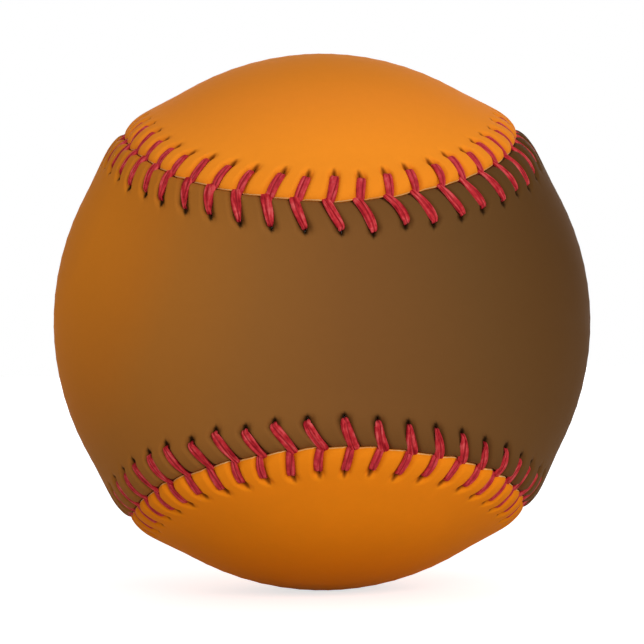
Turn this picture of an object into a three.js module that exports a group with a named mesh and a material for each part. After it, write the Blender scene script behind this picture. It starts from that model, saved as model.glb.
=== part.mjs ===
// A leather-covered baseball, built from its cork core outwards.
//
// Frame: millimetres, origin at the centre of the ball, +Z up. The orange cover panel has its two
// lobes round +Z and -Z and its waist at +Y. The brown panel has its lobes round +X and -X and its
// waist at -Y, the side that faces the viewer.

import * as THREE from 'three';
import { mergeVertices } from 'three/addons/utils/BufferGeometryUtils.js';

// Ball and leather
const BALL_RADIUS = 37;
const LEATHER_INNER_RADIUS = 36.05;
const SEAM_INNER_RADIUS = 36.5;
const WINDING_GAP = 0.1;

// Radii of the rings of the centre and of the windings, out to the finishing yarn
const CORK_RADIUS = 10.3;
const CUP_RADIUS = 14.1;
const HALF_SHELL_RADIUS = 16.5;
const GREY_FOUR_PLY_RADIUS = 31.2;
const WHITE_THREE_PLY_RADIUS = 33;
const GREY_THREE_PLY_RADIUS = 35;
const FINISHING_YARN_RADIUS = 35.5;
const RUBBER_GAP = 0.3;

// Seam line: a closed curve on the ball, with the smallest angle between it and the middle of a
// panel's waist, and the three shape factors of its four lobes
const WAIST_HALF_ANGLE = 0.435;
const LOBE_SWING = 0.372;
const LOBE_SWING_HARMONIC = 0.0243;
const LATITUDE_HARMONIC = 0.0022;
const SEAM_SAMPLES = 20000;

// Stitches: the crossing points stand further apart round the waists than between them
const STITCH_COUNT = 108;
const STITCH_PHASE = -0.242;
const STITCH_SPREAD = 0.95;

// Holes of the two panels: how far ahead of the crossing point they lie, and the distance of the
// three corners of a hole from the seam line
const ORANGE_HOLE_LEAD = 0.8;
const BROWN_HOLE_LEAD = 2;
const HOLE_HALF_WIDTH = 0.9;
const HOLE_NEAR = 3.85;
const HOLE_FAR = 5.6;

// Ridge that the leather forms over the thread: distance from the seam line, height over the ball
const SLIT_HALF_WIDTH = 0.3;
const EDGE_HEIGHT = 0.25;
const CREST_DISTANCE = 2.4;
const CREST_HEIGHT = 0.6;
const HOLE_NEAR_HEIGHT = 0.4;
const HOLE_FAR_HEIGHT = 0.25;
const RIDGE_FOOT = 8;

// Thread: flattened section of the visible legs, and squeezed section inside leather and slit
const LEG_WIDTH = 1.1;
const LEG_THICKNESS = 0.5;
const SQUEEZED_WIDTH = 0.7;
const SLIT_THICKNESS = 0.4;
const THREAD_CLEARANCE = 0.08;
const HIDDEN_THREAD_RADIUS = 36.1;
const HOLE_PASS = 4.2;
const ORANGE_DIVE_LEAD = 1.05;
const TAIL_SHARE = 0.25;
const BRIDGE_LEAD = -1.4;

// Fineness of the meshes
const COLUMN_STEP = 2;
const LOBE_CENTRE_COLUMN = 20;
const INTERIOR_ROWS = [1 / 3, 2 / 3];
const WINDING_DETAIL = 3;
const CHANNEL_SHARE = 0.22;
const LATHE_SEGMENTS = 16;
const ARC_STEPS = 4;
const GASKET_HALF_THICKNESS = 0.8;

// Point of the seam line on the unit ball, for a parameter from 0 to 4 pi
function seamPoint(turn) {
  const swing = (1 - LATITUDE_HARMONIC) * Math.cos(turn) + LATITUDE_HARMONIC * Math.cos(3 * turn);
  const latitude = Math.PI / 2 - (Math.PI / 2 - WAIST_HALF_ANGLE) * swing;
  const longitude = turn / 2 + LOBE_SWING * Math.sin(2 * turn) + LOBE_SWING_HARMONIC * Math.sin(4 * turn);
  return new THREE.Vector3(
    Math.sin(latitude) * Math.sin(longitude),
    -Math.cos(latitude),
    Math.sin(latitude) * Math.cos(longitude),
  );
}

// The seam measured off by its length, at the radius of the ball
class SeamLine {
  constructor() {
    this.lengths = [0];
    let previous = seamPoint(0);
    for (let i = 1; i <= SEAM_SAMPLES; i += 1) {
      const next = seamPoint((4 * Math.PI * i) / SEAM_SAMPLES);
      this.lengths.push(this.lengths[i - 1] + next.distanceTo(previous) * BALL_RADIUS);
      previous = next;
    }
    this.length = this.lengths[SEAM_SAMPLES];
  }

  turnAt(along) {
    const target = THREE.MathUtils.euclideanModulo(along, this.length);
    let low = 0;
    let high = SEAM_SAMPLES;
    while (high - low > 1) {
      const middle = Math.floor((low + high) / 2);
      if (this.lengths[middle] <= target) low = middle;
      else high = middle;
    }
    const share = (target - this.lengths[low]) / (this.lengths[high] - this.lengths[low]);
    return (4 * Math.PI * (low + share)) / SEAM_SAMPLES;
  }

  // Unit vectors at a length: out of the ball, along the seam and across it to the orange panel
  frameAt(along) {
    const turn = this.turnAt(along);
    const step = 1e-4;
    const out = seamPoint(turn);
    const forward = seamPoint(turn + step).sub(seamPoint(turn - step)).normalize();
    const across = new THREE.Vector3().crossVectors(out, forward).normalize();
    return { out, forward, across };
  }

  // Point at a length along the seam, a distance across it and a radius from the ball's centre
  place(along, across, radius) {
    const frame = this.frameAt(along);
    const angle = across / BALL_RADIUS;
    return frame.out.multiplyScalar(Math.cos(angle)).addScaledVector(frame.across, Math.sin(angle))
      .multiplyScalar(radius);
  }
}

const seam = new SeamLine();
const pitch = seam.length / STITCH_COUNT;

// Length along the seam at which the two legs of a stitch meet
function crossingAt(stitch) {
  const even = pitch * (stitch + STITCH_PHASE);
  return even + STITCH_SPREAD * Math.sin((8 * Math.PI * even) / seam.length);
}

// How far the crossing runs ahead of its holes where the seam turns from a waist into a lobe
function crossingLag(along) {
  const angle = (8 * Math.PI * along) / seam.length;
  return -0.55 + 0.5 * Math.cos(angle) + 0.45 * Math.sin(angle) * (1 - Math.cos(angle));
}

// Length along the seam of a hole; the side is +1 in the orange panel and -1 in the brown one
function holeAt(stitch, side) {
  const crossing = crossingAt(stitch);
  const lead = side > 0 ? ORANGE_HOLE_LEAD : BROWN_HOLE_LEAD;
  return crossing + lead + crossingLag(crossing);
}

// Triangles collected as points, which mergeVertices then joins into one closed mesh
class Surface {
  constructor(turned) {
    this.turned = turned;
    this.numbers = [];
  }

  triangle(a, b, c) {
    if (a.distanceTo(b) < 1e-6 || b.distanceTo(c) < 1e-6 || c.distanceTo(a) < 1e-6) return;
    const corners = this.turned ? [a, c, b] : [a, b, c];
    for (const corner of corners) this.numbers.push(corner.x, corner.y, corner.z);
  }

  // A quad is split along its shorter diagonal
  quad(a, b, c, d) {
    if (a.distanceTo(c) <= b.distanceTo(d)) {
      this.triangle(a, b, c);
      this.triangle(a, c, d);
    } else {
      this.triangle(a, b, d);
      this.triangle(b, c, d);
    }
  }

  geometry() {
    const loose = new THREE.BufferGeometry();
    loose.setAttribute('position', new THREE.Float32BufferAttribute(this.numbers, 3));
    return mergeVertices(loose, 1e-4);
  }
}

// One cover panel. The faces of its seam band follow the stitches, and inside the foot of the ridge
// they follow even columns that are mirror images across the panel's spine.
class CoverPanel {
  constructor({ side, waistColumn, waistAxis, lobeAxis }) {
    Object.assign(this, { side, waistColumn, waistAxis, lobeAxis });
    this.surface = new Surface(side < 0);
    this.outer = this.skin({
      radii: [EDGE_HEIGHT, CREST_HEIGHT, HOLE_NEAR_HEIGHT, HOLE_FAR_HEIGHT, 0].map((h) => BALL_RADIUS + h),
      interior: BALL_RADIUS,
    });
    this.inner = this.skin({
      radii: [...Array(4).fill(SEAM_INNER_RADIUS), LEATHER_INNER_RADIUS],
      interior: LEATHER_INNER_RADIUS,
    });
  }

  place(along, across, radius) {
    return seam.place(along, this.side * across, radius);
  }

  // Every point of the outer or the inner skin of the panel, by row
  skin({ radii, interior }) {
    const skin = { edge: [], crest: [], left: [], right: [], far: [], foot: [] };
    for (let k = 0; k < STITCH_COUNT; k += 1) {
      const hole = holeAt(k, this.side);
      const between = (hole + holeAt(k + 1, this.side)) / 2;
      skin.edge.push(this.place(between, SLIT_HALF_WIDTH, radii[0]));
      skin.crest.push(this.place(between, CREST_DISTANCE, radii[1]));
      skin.left.push(this.place(hole - HOLE_HALF_WIDTH, HOLE_NEAR, radii[2]));
      skin.right.push(this.place(hole + HOLE_HALF_WIDTH, HOLE_NEAR, radii[2]));
      skin.far.push(this.place(hole, HOLE_FAR, radii[3]));
      skin.foot.push(this.place(hole, RIDGE_FOOT, radii[4]));
    }
    skin.rows = INTERIOR_ROWS.map((share) => this.interiorRow(share, interior));
    skin.rows.push(this.interiorRow(1, interior));
    return skin;
  }

  // A row of the interior, at a share of the way from the foot of the ridge to the spine
  interiorRow(share, radius) {
    const row = [];
    for (let step = 0; step < STITCH_COUNT; step += COLUMN_STEP) {
      const foot = this.place(pitch * (this.waistColumn + step), RIDGE_FOOT, 1);
      row.push(foot.lerp(this.spinePoint(step), share).normalize().multiplyScalar(radius));
    }
    return row;
  }

  // The spine runs from the middle of the waist to the middle of each lobe and a little beyond
  spinePoint(step) {
    const quarter = STITCH_COUNT / 4;
    const fold = Math.abs(THREE.MathUtils.euclideanModulo(step - quarter, STITCH_COUNT) - 2 * quarter);
    const angle = ((quarter - fold) / LOBE_CENTRE_COLUMN) * (-Math.PI / 2);
    return this.waistAxis.clone().multiplyScalar(Math.cos(angle)).addScaledVector(this.lobeAxis, Math.sin(angle));
  }

  // Faces of one skin; the inner one is passed turned about
  skinFaces(skin, quad, triangle) {
    const { edge, crest, left, right, far, foot, rows } = skin;
    for (let k = 0; k < STITCH_COUNT; k += 1) {
      const next = (k + 1) % STITCH_COUNT;
      const before = (k + STITCH_COUNT - 1) % STITCH_COUNT;
      quad(edge[k], edge[next], crest[next], crest[k]);
      quad(crest[before], crest[k], right[k], left[k]);
      triangle(crest[k], left[next], right[k]);
      quad(right[k], left[next], far[next], far[k]);
      quad(far[k], far[next], foot[next], foot[k]);
    }
    for (let i = 0; i < rows[0].length; i += 1) {
      const j = (i + 1) % rows[0].length;
      const here = (this.waistColumn + i * COLUMN_STEP) % STITCH_COUNT;
      const middle = (here + 1) % STITCH_COUNT;
      const there = (here + COLUMN_STEP) % STITCH_COUNT;
      triangle(foot[here], foot[middle], rows[0][i]);
      triangle(foot[middle], rows[0][j], rows[0][i]);
      triangle(foot[middle], foot[there], rows[0][j]);
      for (let r = 0; r + 1 < rows.length; r += 1) {
        quad(rows[r][i], rows[r][j], rows[r + 1][j], rows[r + 1][i]);
      }
    }
  }

  geometry() {
    const { surface, outer, inner } = this;
    this.skinFaces(outer, (a, b, c, d) => surface.quad(a, b, c, d), (a, b, c) => surface.triangle(a, b, c));
    this.skinFaces(inner, (a, b, c, d) => surface.quad(d, c, b, a), (a, b, c) => surface.triangle(c, b, a));
    for (let k = 0; k < STITCH_COUNT; k += 1) {
      const next = (k + 1) % STITCH_COUNT;
      surface.quad(outer.edge[next], outer.edge[k], inner.edge[k], inner.edge[next]);
      surface.quad(outer.left[k], outer.right[k], inner.right[k], inner.left[k]);
      surface.quad(outer.right[k], outer.far[k], inner.far[k], inner.right[k]);
      surface.quad(outer.far[k], outer.left[k], inner.left[k], inner.far[k]);
    }
    return surface.geometry();
  }
}

// The thread: two strands that swap sides at every stitch, joined behind the first one
class SeamThread {
  constructor() {
    this.rings = [];
    this.lay(this.strand(1).reverse());
    const bridgeHeight = HIDDEN_THREAD_RADIUS;
    this.rings.push(this.ring(crossingAt(0) + BRIDGE_LEAD, 0, bridgeHeight, SQUEEZED_WIDTH, SLIT_THICKNESS));
    this.lay(this.strand(-1));
  }

  ring(along, across, radius, width, thickness) {
    return { centre: seam.place(along, across, radius), forward: seam.frameAt(along).forward, width, thickness };
  }

  lay(rings) {
    this.rings.push(...rings);
  }

  // The rings of one strand: up through a hole, over the leather, down into the slit and under the
  // other panel to its next hole
  strand(firstSide) {
    const rings = [];
    const low = HIDDEN_THREAD_RADIUS;
    const top = (height) => BALL_RADIUS + height + THREAD_CLEARANCE + LEG_THICKNESS / 2;
    for (let k = 0; k < STITCH_COUNT; k += 1) {
      const side = k % 2 === 0 ? firstSide : -firstSide;
      const hole = holeAt(k, side);
      const dive = crossingAt(k) + (side > 0 ? ORANGE_DIVE_LEAD : 0);
      const crest = dive + ((hole - dive) * CREST_DISTANCE) / HOLE_PASS;
      const pass = side * HOLE_PASS;
      rings.push(
        this.ring(hole, pass, low, SQUEEZED_WIDTH, SLIT_THICKNESS),
        this.ring(hole, pass, top(HOLE_NEAR_HEIGHT), LEG_WIDTH, LEG_THICKNESS),
        this.ring(crest, side * CREST_DISTANCE, top(CREST_HEIGHT), LEG_WIDTH, LEG_THICKNESS),
        this.ring(dive, 0, top(EDGE_HEIGHT), SQUEEZED_WIDTH, LEG_THICKNESS),
        this.ring(dive, 0, low, SQUEEZED_WIDTH, SLIT_THICKNESS),
      );
      if (k === STITCH_COUNT - 1) {
        const end = THREE.MathUtils.lerp(dive, holeAt(k + 1, -side), TAIL_SHARE);
        rings.push(this.ring(end, -pass * TAIL_SHARE, low, SQUEEZED_WIDTH, SLIT_THICKNESS));
      }
    }
    return rings;
  }

  // The four corners of each ring lie in the plane that halves the bend there
  corners(index) {
    const { centre, forward, width, thickness } = this.rings[index];
    const before = this.rings[Math.max(index - 1, 0)].centre;
    const after = this.rings[Math.min(index + 1, this.rings.length - 1)].centre;
    const arriving = centre.clone().sub(before).normalize();
    const leaving = after.clone().sub(centre).normalize();
    const plane = arriving.add(leaving).normalize();
    const wide = forward.clone().addScaledVector(plane, -forward.dot(plane)).normalize();
    const high = new THREE.Vector3().crossVectors(plane, wide).normalize();
    return [[1, 1], [-1, 1], [-1, -1], [1, -1]].map(([u, v]) => (
      centre.clone().addScaledVector(wide, (u * width) / 2).addScaledVector(high, (v * thickness) / 2)
    ));
  }

  geometry() {
    const surface = new Surface(false);
    const rings = this.rings.map((_, index) => this.corners(index));
    for (let i = 0; i + 1 < rings.length; i += 1) {
      for (let c = 0; c < 4; c += 1) {
        const d = (c + 1) % 4;
        surface.quad(rings[i][c], rings[i][d], rings[i + 1][d], rings[i + 1][c]);
      }
    }
    const first = rings[0];
    const last = rings[rings.length - 1];
    surface.quad(first[3], first[2], first[1], first[0]);
    surface.quad(last[0], last[1], last[2], last[3]);
    return surface.geometry();
  }

  length() {
    let total = 0;
    for (let i = 1; i < this.rings.length; i += 1) {
      total += this.rings[i].centre.distanceTo(this.rings[i - 1].centre);
    }
    return total;
  }
}

// A hollow winding. A narrow channel at one place, where the yarn's end is drawn in with a needle,
// joins its outer and its inner surface.
function windingGeometry(outerRadius, innerRadius) {
  const surface = new Surface(false);
  const skins = [outerRadius, innerRadius].map((radius) => {
    const position = new THREE.IcosahedronGeometry(radius, WINDING_DETAIL).getAttribute('position');
    const points = [];
    for (let i = 0; i < position.count; i += 1) points.push(new THREE.Vector3().fromBufferAttribute(position, i));
    return points;
  });
  const mouths = skins.map((points) => {
    const middle = points[0].clone().add(points[1]).add(points[2]).divideScalar(3);
    return points.slice(0, 3).map((point) => middle.clone().lerp(point, CHANNEL_SHARE));
  });
  skins.forEach((points, skin) => {
    const add = skin === 0 ? (a, b, c) => surface.triangle(a, b, c) : (a, b, c) => surface.triangle(c, b, a);
    for (let i = 3; i < points.length; i += 3) add(points[i], points[i + 1], points[i + 2]);
    for (let c = 0; c < 3; c += 1) {
      const d = (c + 1) % 3;
      add(points[c], points[d], mouths[skin][d]);
      add(points[c], mouths[skin][d], mouths[skin][c]);
    }
  });
  for (let c = 0; c < 3; c += 1) {
    const d = (c + 1) % 3;
    surface.quad(mouths[0][c], mouths[0][d], mouths[1][d], mouths[1][c]);
  }
  return surface.geometry();
}

// Points of an arc round the ball's centre in the lathe's half plane, between two polar angles
function arcPoints(radius, start, end) {
  const points = [];
  for (let i = 0; i <= ARC_STEPS; i += 1) {
    const angle = start + ((end - start) * i) / ARC_STEPS;
    points.push(new THREE.Vector2(radius * Math.sin(angle), radius * Math.cos(angle)));
  }
  return points;
}

// A lathe turns about Y; this stands its axis on Z and joins its seam line
function turned(profile) {
  const lathe = new THREE.LatheGeometry(profile, LATHE_SEGMENTS).rotateX(Math.PI / 2);
  lathe.deleteAttribute('normal');
  lathe.deleteAttribute('uv');
  return withoutSlivers(mergeVertices(lathe, 1e-4));
}

// Drops the faces of no area that a lathe leaves on its axis
function withoutSlivers(geometry) {
  const index = geometry.getIndex().array;
  const kept = [];
  for (let i = 0; i < index.length; i += 3) {
    const [a, b, c] = [index[i], index[i + 1], index[i + 2]];
    if (a !== b && b !== c && c !== a) kept.push(a, b, c);
  }
  geometry.setIndex(kept);
  return geometry;
}

// A half shell that ends a little above the plane between it and its twin
function cupGeometry(outerRadius, innerRadius, rimHeight) {
  const outerRim = Math.acos(rimHeight / outerRadius);
  const innerRim = Math.acos(rimHeight / innerRadius);
  const profile = [...arcPoints(innerRadius, 0, innerRim), ...arcPoints(outerRadius, outerRim, 0)];
  return turned(profile);
}

// The cork core, with the same columns as the cups, so that the gap to them is even
function coreGeometry(radius) {
  return turned([...arcPoints(radius, Math.PI, Math.PI / 2), ...arcPoints(radius, Math.PI / 2, 0).slice(1)]);
}

// The flat ring in the joint of the cups
function gasketGeometry() {
  const inner = CORK_RADIUS + RUBBER_GAP;
  const outer = CUP_RADIUS;
  const half = GASKET_HALF_THICKNESS;
  const corners = [[inner, -half], [outer, -half], [outer, half], [inner, half], [inner, -half]];
  return turned(corners.map(([x, y]) => new THREE.Vector2(x, y)));
}

function piece(name, geometry, color, roughness) {
  const material = new THREE.MeshStandardMaterial({ color, roughness, metalness: 0 });
  const mesh = new THREE.Mesh(geometry, material);
  mesh.name = name;
  return mesh;
}

// The centre: cork, black rubber cups with their gasket, red rubber half shells
function centrePieces() {
  const pieces = [piece('cork_core', coreGeometry(CORK_RADIUS), 0x8f6236, 0.95)];
  const rim = GASKET_HALF_THICKNESS + RUBBER_GAP / 2;
  const cup = () => cupGeometry(CUP_RADIUS, CORK_RADIUS + RUBBER_GAP, rim);
  pieces.push(piece('inner_cup_top', cup(), 0x1d1c1b, 0.7));
  pieces.push(piece('inner_cup_bottom', cup().rotateX(Math.PI), 0x1d1c1b, 0.7));
  pieces.push(piece('cup_gasket', gasketGeometry(), 0x9c2b24, 0.65));
  const half = () => cupGeometry(HALF_SHELL_RADIUS, CUP_RADIUS + RUBBER_GAP, RUBBER_GAP / 2);
  pieces.push(piece('outer_shell_top', half(), 0xa63128, 0.65));
  pieces.push(piece('outer_shell_bottom', half().rotateX(Math.PI), 0xa63128, 0.65));
  return pieces;
}

// The four windings, each begun just outside the one before
function windingPieces() {
  const windings = [
    ['winding_grey_four_ply', GREY_FOUR_PLY_RADIUS, 0x8b8a87],
    ['winding_white_three_ply', WHITE_THREE_PLY_RADIUS, 0xe6e2d8],
    ['winding_grey_three_ply', GREY_THREE_PLY_RADIUS, 0x96948f],
    ['winding_finishing_yarn', FINISHING_YARN_RADIUS, 0xf1eee6],
  ];
  let start = HALF_SHELL_RADIUS + RUBBER_GAP;
  return windings.map(([name, radius, color]) => {
    const winding = piece(name, windingGeometry(radius, start), color, 1);
    start = radius + WINDING_GAP;
    return winding;
  });
}

// The leather cover and the thread that closes it
function coverPieces() {
  const orange = new CoverPanel({
    side: 1,
    waistColumn: STITCH_COUNT / 4,
    waistAxis: new THREE.Vector3(0, 1, 0),
    lobeAxis: new THREE.Vector3(0, 0, -1),
  });
  const brown = new CoverPanel({
    side: -1,
    waistColumn: 0,
    waistAxis: new THREE.Vector3(0, -1, 0),
    lobeAxis: new THREE.Vector3(1, 0, 0),
  });
  const thread = new SeamThread();
  console.log(`seam ${seam.length.toFixed(1)} mm, thread ${(thread.length() / 1000).toFixed(2)} m`);
  return [
    piece('cover_panel_orange', orange.geometry(), 0xe58a28, 0.55),
    piece('cover_panel_brown', brown.geometry(), 0x86592d, 0.55),
    piece('seam_thread', thread.geometry(), 0xc23150, 0.75),
  ];
}

const baseball = new THREE.Group();
baseball.add(...centrePieces(), ...windingPieces(), ...coverPieces());

export default baseball;
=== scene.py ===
"""A leather-covered baseball, made from its cork core out to its laced cover, in a plain studio.

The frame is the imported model's: metres, the ball's centre at the origin, Z up. The orange panel has
its lobes at the top and the bottom, the brown panel at the left and the right, and the brown panel's
waist faces the camera. Sizes are held in millimetres, which is how a ball maker gives them, and
become metres where a mesh is written.
"""

import logging
import math
from collections.abc import Iterator, Mapping, Sequence
from contextlib import contextmanager
from dataclasses import dataclass, fields
from enum import Enum
from typing import Any, ClassVar, Generic, TypeVar

import bpy
import numpy as np
from mathutils import Matrix, Vector


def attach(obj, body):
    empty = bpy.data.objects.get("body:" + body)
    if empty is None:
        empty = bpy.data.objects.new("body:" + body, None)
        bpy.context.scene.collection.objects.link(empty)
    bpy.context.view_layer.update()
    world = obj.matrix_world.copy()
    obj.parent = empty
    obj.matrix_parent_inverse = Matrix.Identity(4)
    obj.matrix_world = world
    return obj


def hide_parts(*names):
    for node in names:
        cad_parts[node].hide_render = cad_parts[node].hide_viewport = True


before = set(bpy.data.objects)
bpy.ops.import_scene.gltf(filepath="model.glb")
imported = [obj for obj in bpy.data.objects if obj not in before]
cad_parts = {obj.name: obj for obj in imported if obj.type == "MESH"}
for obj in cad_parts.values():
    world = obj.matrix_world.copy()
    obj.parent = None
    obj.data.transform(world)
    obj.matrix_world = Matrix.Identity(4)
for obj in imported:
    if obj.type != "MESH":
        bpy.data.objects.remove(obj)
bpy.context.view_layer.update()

log = logging.getLogger("baseball")

MM = 0.001
IMAGE_SIDE = 644
BALL_RADIUS = 37.0
SHARP_ANGLE = math.radians(50)
SOFT_EDGE = 0.25
WELD_DISTANCE = 2e-7
CHANCE_LIMIT = 2

Colour = tuple[float, float, float]
Axis = tuple[float, float, float]
Stops = tuple[tuple[float, Colour], ...]
Profile = tuple[tuple[float, float], ...]
Size = TypeVar("Size")


class Side(Enum):
    """The two cover panels, with the sign that a distance across the seam has on their side."""

    ORANGE = 1
    BROWN = -1


@dataclass(frozen=True)
class PerPanel(Generic[Size]):
    """A size that each of the two panels has of its own."""

    orange: Size
    brown: Size

    def __getitem__(self, side: Side) -> Size:
        """Return the size on one side."""
        return self.orange if side is Side.ORANGE else self.brown


class Ends(Enum):
    """Whether the first and the last row of a wrapped grid are closed."""

    OPEN = "open"
    CAPPED = "capped"


# Shader maths


def linear(red: int, green: int, blue: int) -> Colour:
    """Turn a colour as a screen shows it, 0 to 255, into the linear one that a shader takes."""
    shares = [channel / 255 for channel in (red, green, blue)]
    return tuple(s / 12.92 if s <= 0.04045 else ((s + 0.055) / 1.055) ** 2.4 for s in shares)


class Value:
    """A number, colour or shader inside a node tree. Sums and products of it add Math nodes."""

    def __init__(self, nodes: "Nodes", socket: bpy.types.NodeSocket) -> None:
        """Wrap the output socket of a node in a tree."""
        self.nodes = nodes
        self.socket = socket

    def _math(self, operation: str, *values: "Value | float") -> "Value":
        """Return the result of one Math node, which takes the values in order."""
        return self.nodes.node("ShaderNodeMath", {"operation": operation}, dict(enumerate(values)))

    def __add__(self, other: "Value | float") -> "Value":
        """Add."""
        return self._math("ADD", self, other)

    __radd__ = __add__

    def __sub__(self, other: "Value | float") -> "Value":
        """Subtract."""
        return self._math("SUBTRACT", self, other)

    def __rsub__(self, other: "Value | float") -> "Value":
        """Subtract from a number."""
        return self._math("SUBTRACT", other, self)

    def __mul__(self, other: "Value | float") -> "Value":
        """Multiply."""
        return self._math("MULTIPLY", self, other)

    __rmul__ = __mul__

    def __truediv__(self, other: "Value | float") -> "Value":
        """Divide."""
        return self._math("DIVIDE", self, other)

    def sine(self) -> "Value":
        """Take the sine."""
        return self._math("SINE", self)

    def between(self, low: float, high: float) -> "Value":
        """Rise smoothly from 0 at one value to 1 at another."""
        return self.nodes.node("ShaderNodeMapRange", {"interpolation_type": "SMOOTHSTEP"},
                               {"Value": self, "From Min": low, "From Max": high})


class Nodes:
    """A node tree under construction."""

    def __init__(self, tree: bpy.types.NodeTree) -> None:
        """Start with an empty tree."""
        self.tree = tree
        self.tree.nodes.clear()

    def add(self, kind: str, settings: Mapping[str, Any] | None = None,
            inputs: Mapping[int | str, Any] | None = None) -> bpy.types.Node:
        """Add a node.

        Args:
            kind: The node's type.
            settings: Its properties; "stops" are the positions and colours of a ramp.
            inputs: The values or links of its sockets, by name or number.

        Returns:
            The node.
        """
        made = self.tree.nodes.new(kind)
        for setting, value in (settings or {}).items():
            if setting == "stops":
                self._set_stops(made.color_ramp, value)
            else:
                setattr(made, setting, value)
        for socket, value in (inputs or {}).items():
            self._feed(made.inputs[socket], value)
        return made

    def node(self, kind: str, settings: Mapping[str, Any] | None = None,
             inputs: Mapping[int | str, Any] | None = None, output: int | str = 0) -> Value:
        """Add a node, as add does, and return one of its outputs."""
        return Value(self, self.add(kind, settings, inputs).outputs[output])

    def _feed(self, socket: bpy.types.NodeSocket, value: Any) -> None:
        """Link a value to a socket, or write a constant on it.

        Args:
            socket: The input socket.
            value: A Value, a number, or the numbers of a colour or vector.
        """
        if isinstance(value, Value):
            self.tree.links.new(value.socket, socket)
        elif isinstance(value, (int, float)):
            socket.default_value = value
        elif socket.type == "RGBA":
            socket.default_value = (*value, 1.0)
        else:
            socket.default_value = value

    @staticmethod
    def _set_stops(ramp: bpy.types.ColorRamp, stops: Stops) -> None:
        """Give a ramp its stops.

        Args:
            ramp: The ramp.
            stops: The positions and the colours.
        """
        while len(ramp.elements) < len(stops):
            ramp.elements.new(1.0)
        for element, (position, colour) in zip(ramp.elements, stops):
            element.position = position
            element.color = (*colour, 1.0)

    def seen(self) -> Value:
        """Tell apart where something is seen: directly, in a reflection or through glass.

        Returns:
            1 where it is seen and 0 elsewhere.
        """
        path = self.add("ShaderNodeLightPath")
        camera, glossy, through = (Value(self, path.outputs[name])
                                   for name in ("Is Camera Ray", "Is Glossy Ray", "Is Transmission Ray"))
        return camera + glossy + through


class Shader(Nodes):
    """A material under construction, with one Principled shader."""

    def __init__(self, name: str, **surface: float) -> None:
        """Start a material.

        Args:
            name: The material's name.
            surface: Constants for the Principled shader's sockets, with _ for a space.
        """
        self.material = bpy.data.materials.new(name)
        self.material.use_nodes = True
        super().__init__(self.material.node_tree)
        self.surface = {socket.replace("_", " "): value for socket, value in surface.items()}

    def place(self) -> Value:
        """Return the place on the object, in metres."""
        return self.node("ShaderNodeTexCoord", output="Object")

    def axes(self, vector: Value) -> tuple[Value, Value, Value]:
        """Split a vector into its three numbers."""
        split = self.add("ShaderNodeSeparateXYZ", {}, {0: vector})
        return tuple(Value(self, socket) for socket in split.outputs)

    def lay(self) -> tuple[Value, Value]:
        """Return the place on a strand: round it and along it, both from 0 to 1."""
        around, along, _ = self.axes(self.node("ShaderNodeUVMap", {"uv_map": "UVMap"}))
        return around, along

    def mark(self, name: str) -> Value:
        """Return a number kept on the mesh's points under a name."""
        return self.node("ShaderNodeAttribute", {"attribute_name": name}, output="Fac")

    def noise(self, vector: Value, scale: float, detail: float = 3.0) -> Value:
        """Add fractal noise round 0.5, at a scale and with a number of octaves."""
        return self.node("ShaderNodeTexNoise", {}, {"Vector": vector, "Scale": scale, "Detail": detail})

    def mix(self, share: "Value | float", first: Any, second: Any, blend: str = "MIX") -> Value:
        """Mix two colours, by the share of the second one. The sockets' numbers are those for colours."""
        settings = {"data_type": "RGBA", "blend_type": blend}
        return self.node("ShaderNodeMix", settings, {0: share, 6: first, 7: second}, 2)

    def streaks(self, around: Value, along: Value, detail: float) -> Value:
        """Add noise on a strand, whose places round it and along it are given in streaks."""
        lie = self.node("ShaderNodeCombineXYZ", {}, {0: around, 1: along})
        return self.noise(lie, 1.0, detail)

    def ramp(self, value: Value, stops: Stops) -> Value:
        """Turn a number from 0 to 1 into a colour, by the stops of a ramp."""
        return self.node("ShaderNodeValToRGB", {"stops": stops}, {0: value}, "Color")

    def bump(self, height: Value, distance: float, strength: float = 0.8) -> Value:
        """Turn a height, where 1 is a distance in metres, into a normal."""
        inputs = {"Height": height, "Distance": distance, "Strength": strength}
        return self.node("ShaderNodeBump", {}, inputs, "Normal")

    def finish(self, colour: Value | Colour, roughness: Value | float, normal: Value) -> bpy.types.Material:
        """Join the colour, the roughness and the normal to the surface.

        Args:
            colour: The base colour.
            roughness: The roughness.
            normal: The normal.

        Returns:
            The finished material.
        """
        inputs = {"Base Color": colour, "Roughness": roughness, "Normal": normal, **self.surface}
        self.add("ShaderNodeOutputMaterial", {},
                 {"Surface": self.node("ShaderNodeBsdfPrincipled", {}, inputs)})
        return self.material


# Finishes


def graded(*stops: tuple[float, int, int, int]) -> Stops:
    """Return the stops of a ramp, from positions and colours as a screen shows them."""
    return tuple((position, linear(*colour)) for position, *colour in stops)


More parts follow.
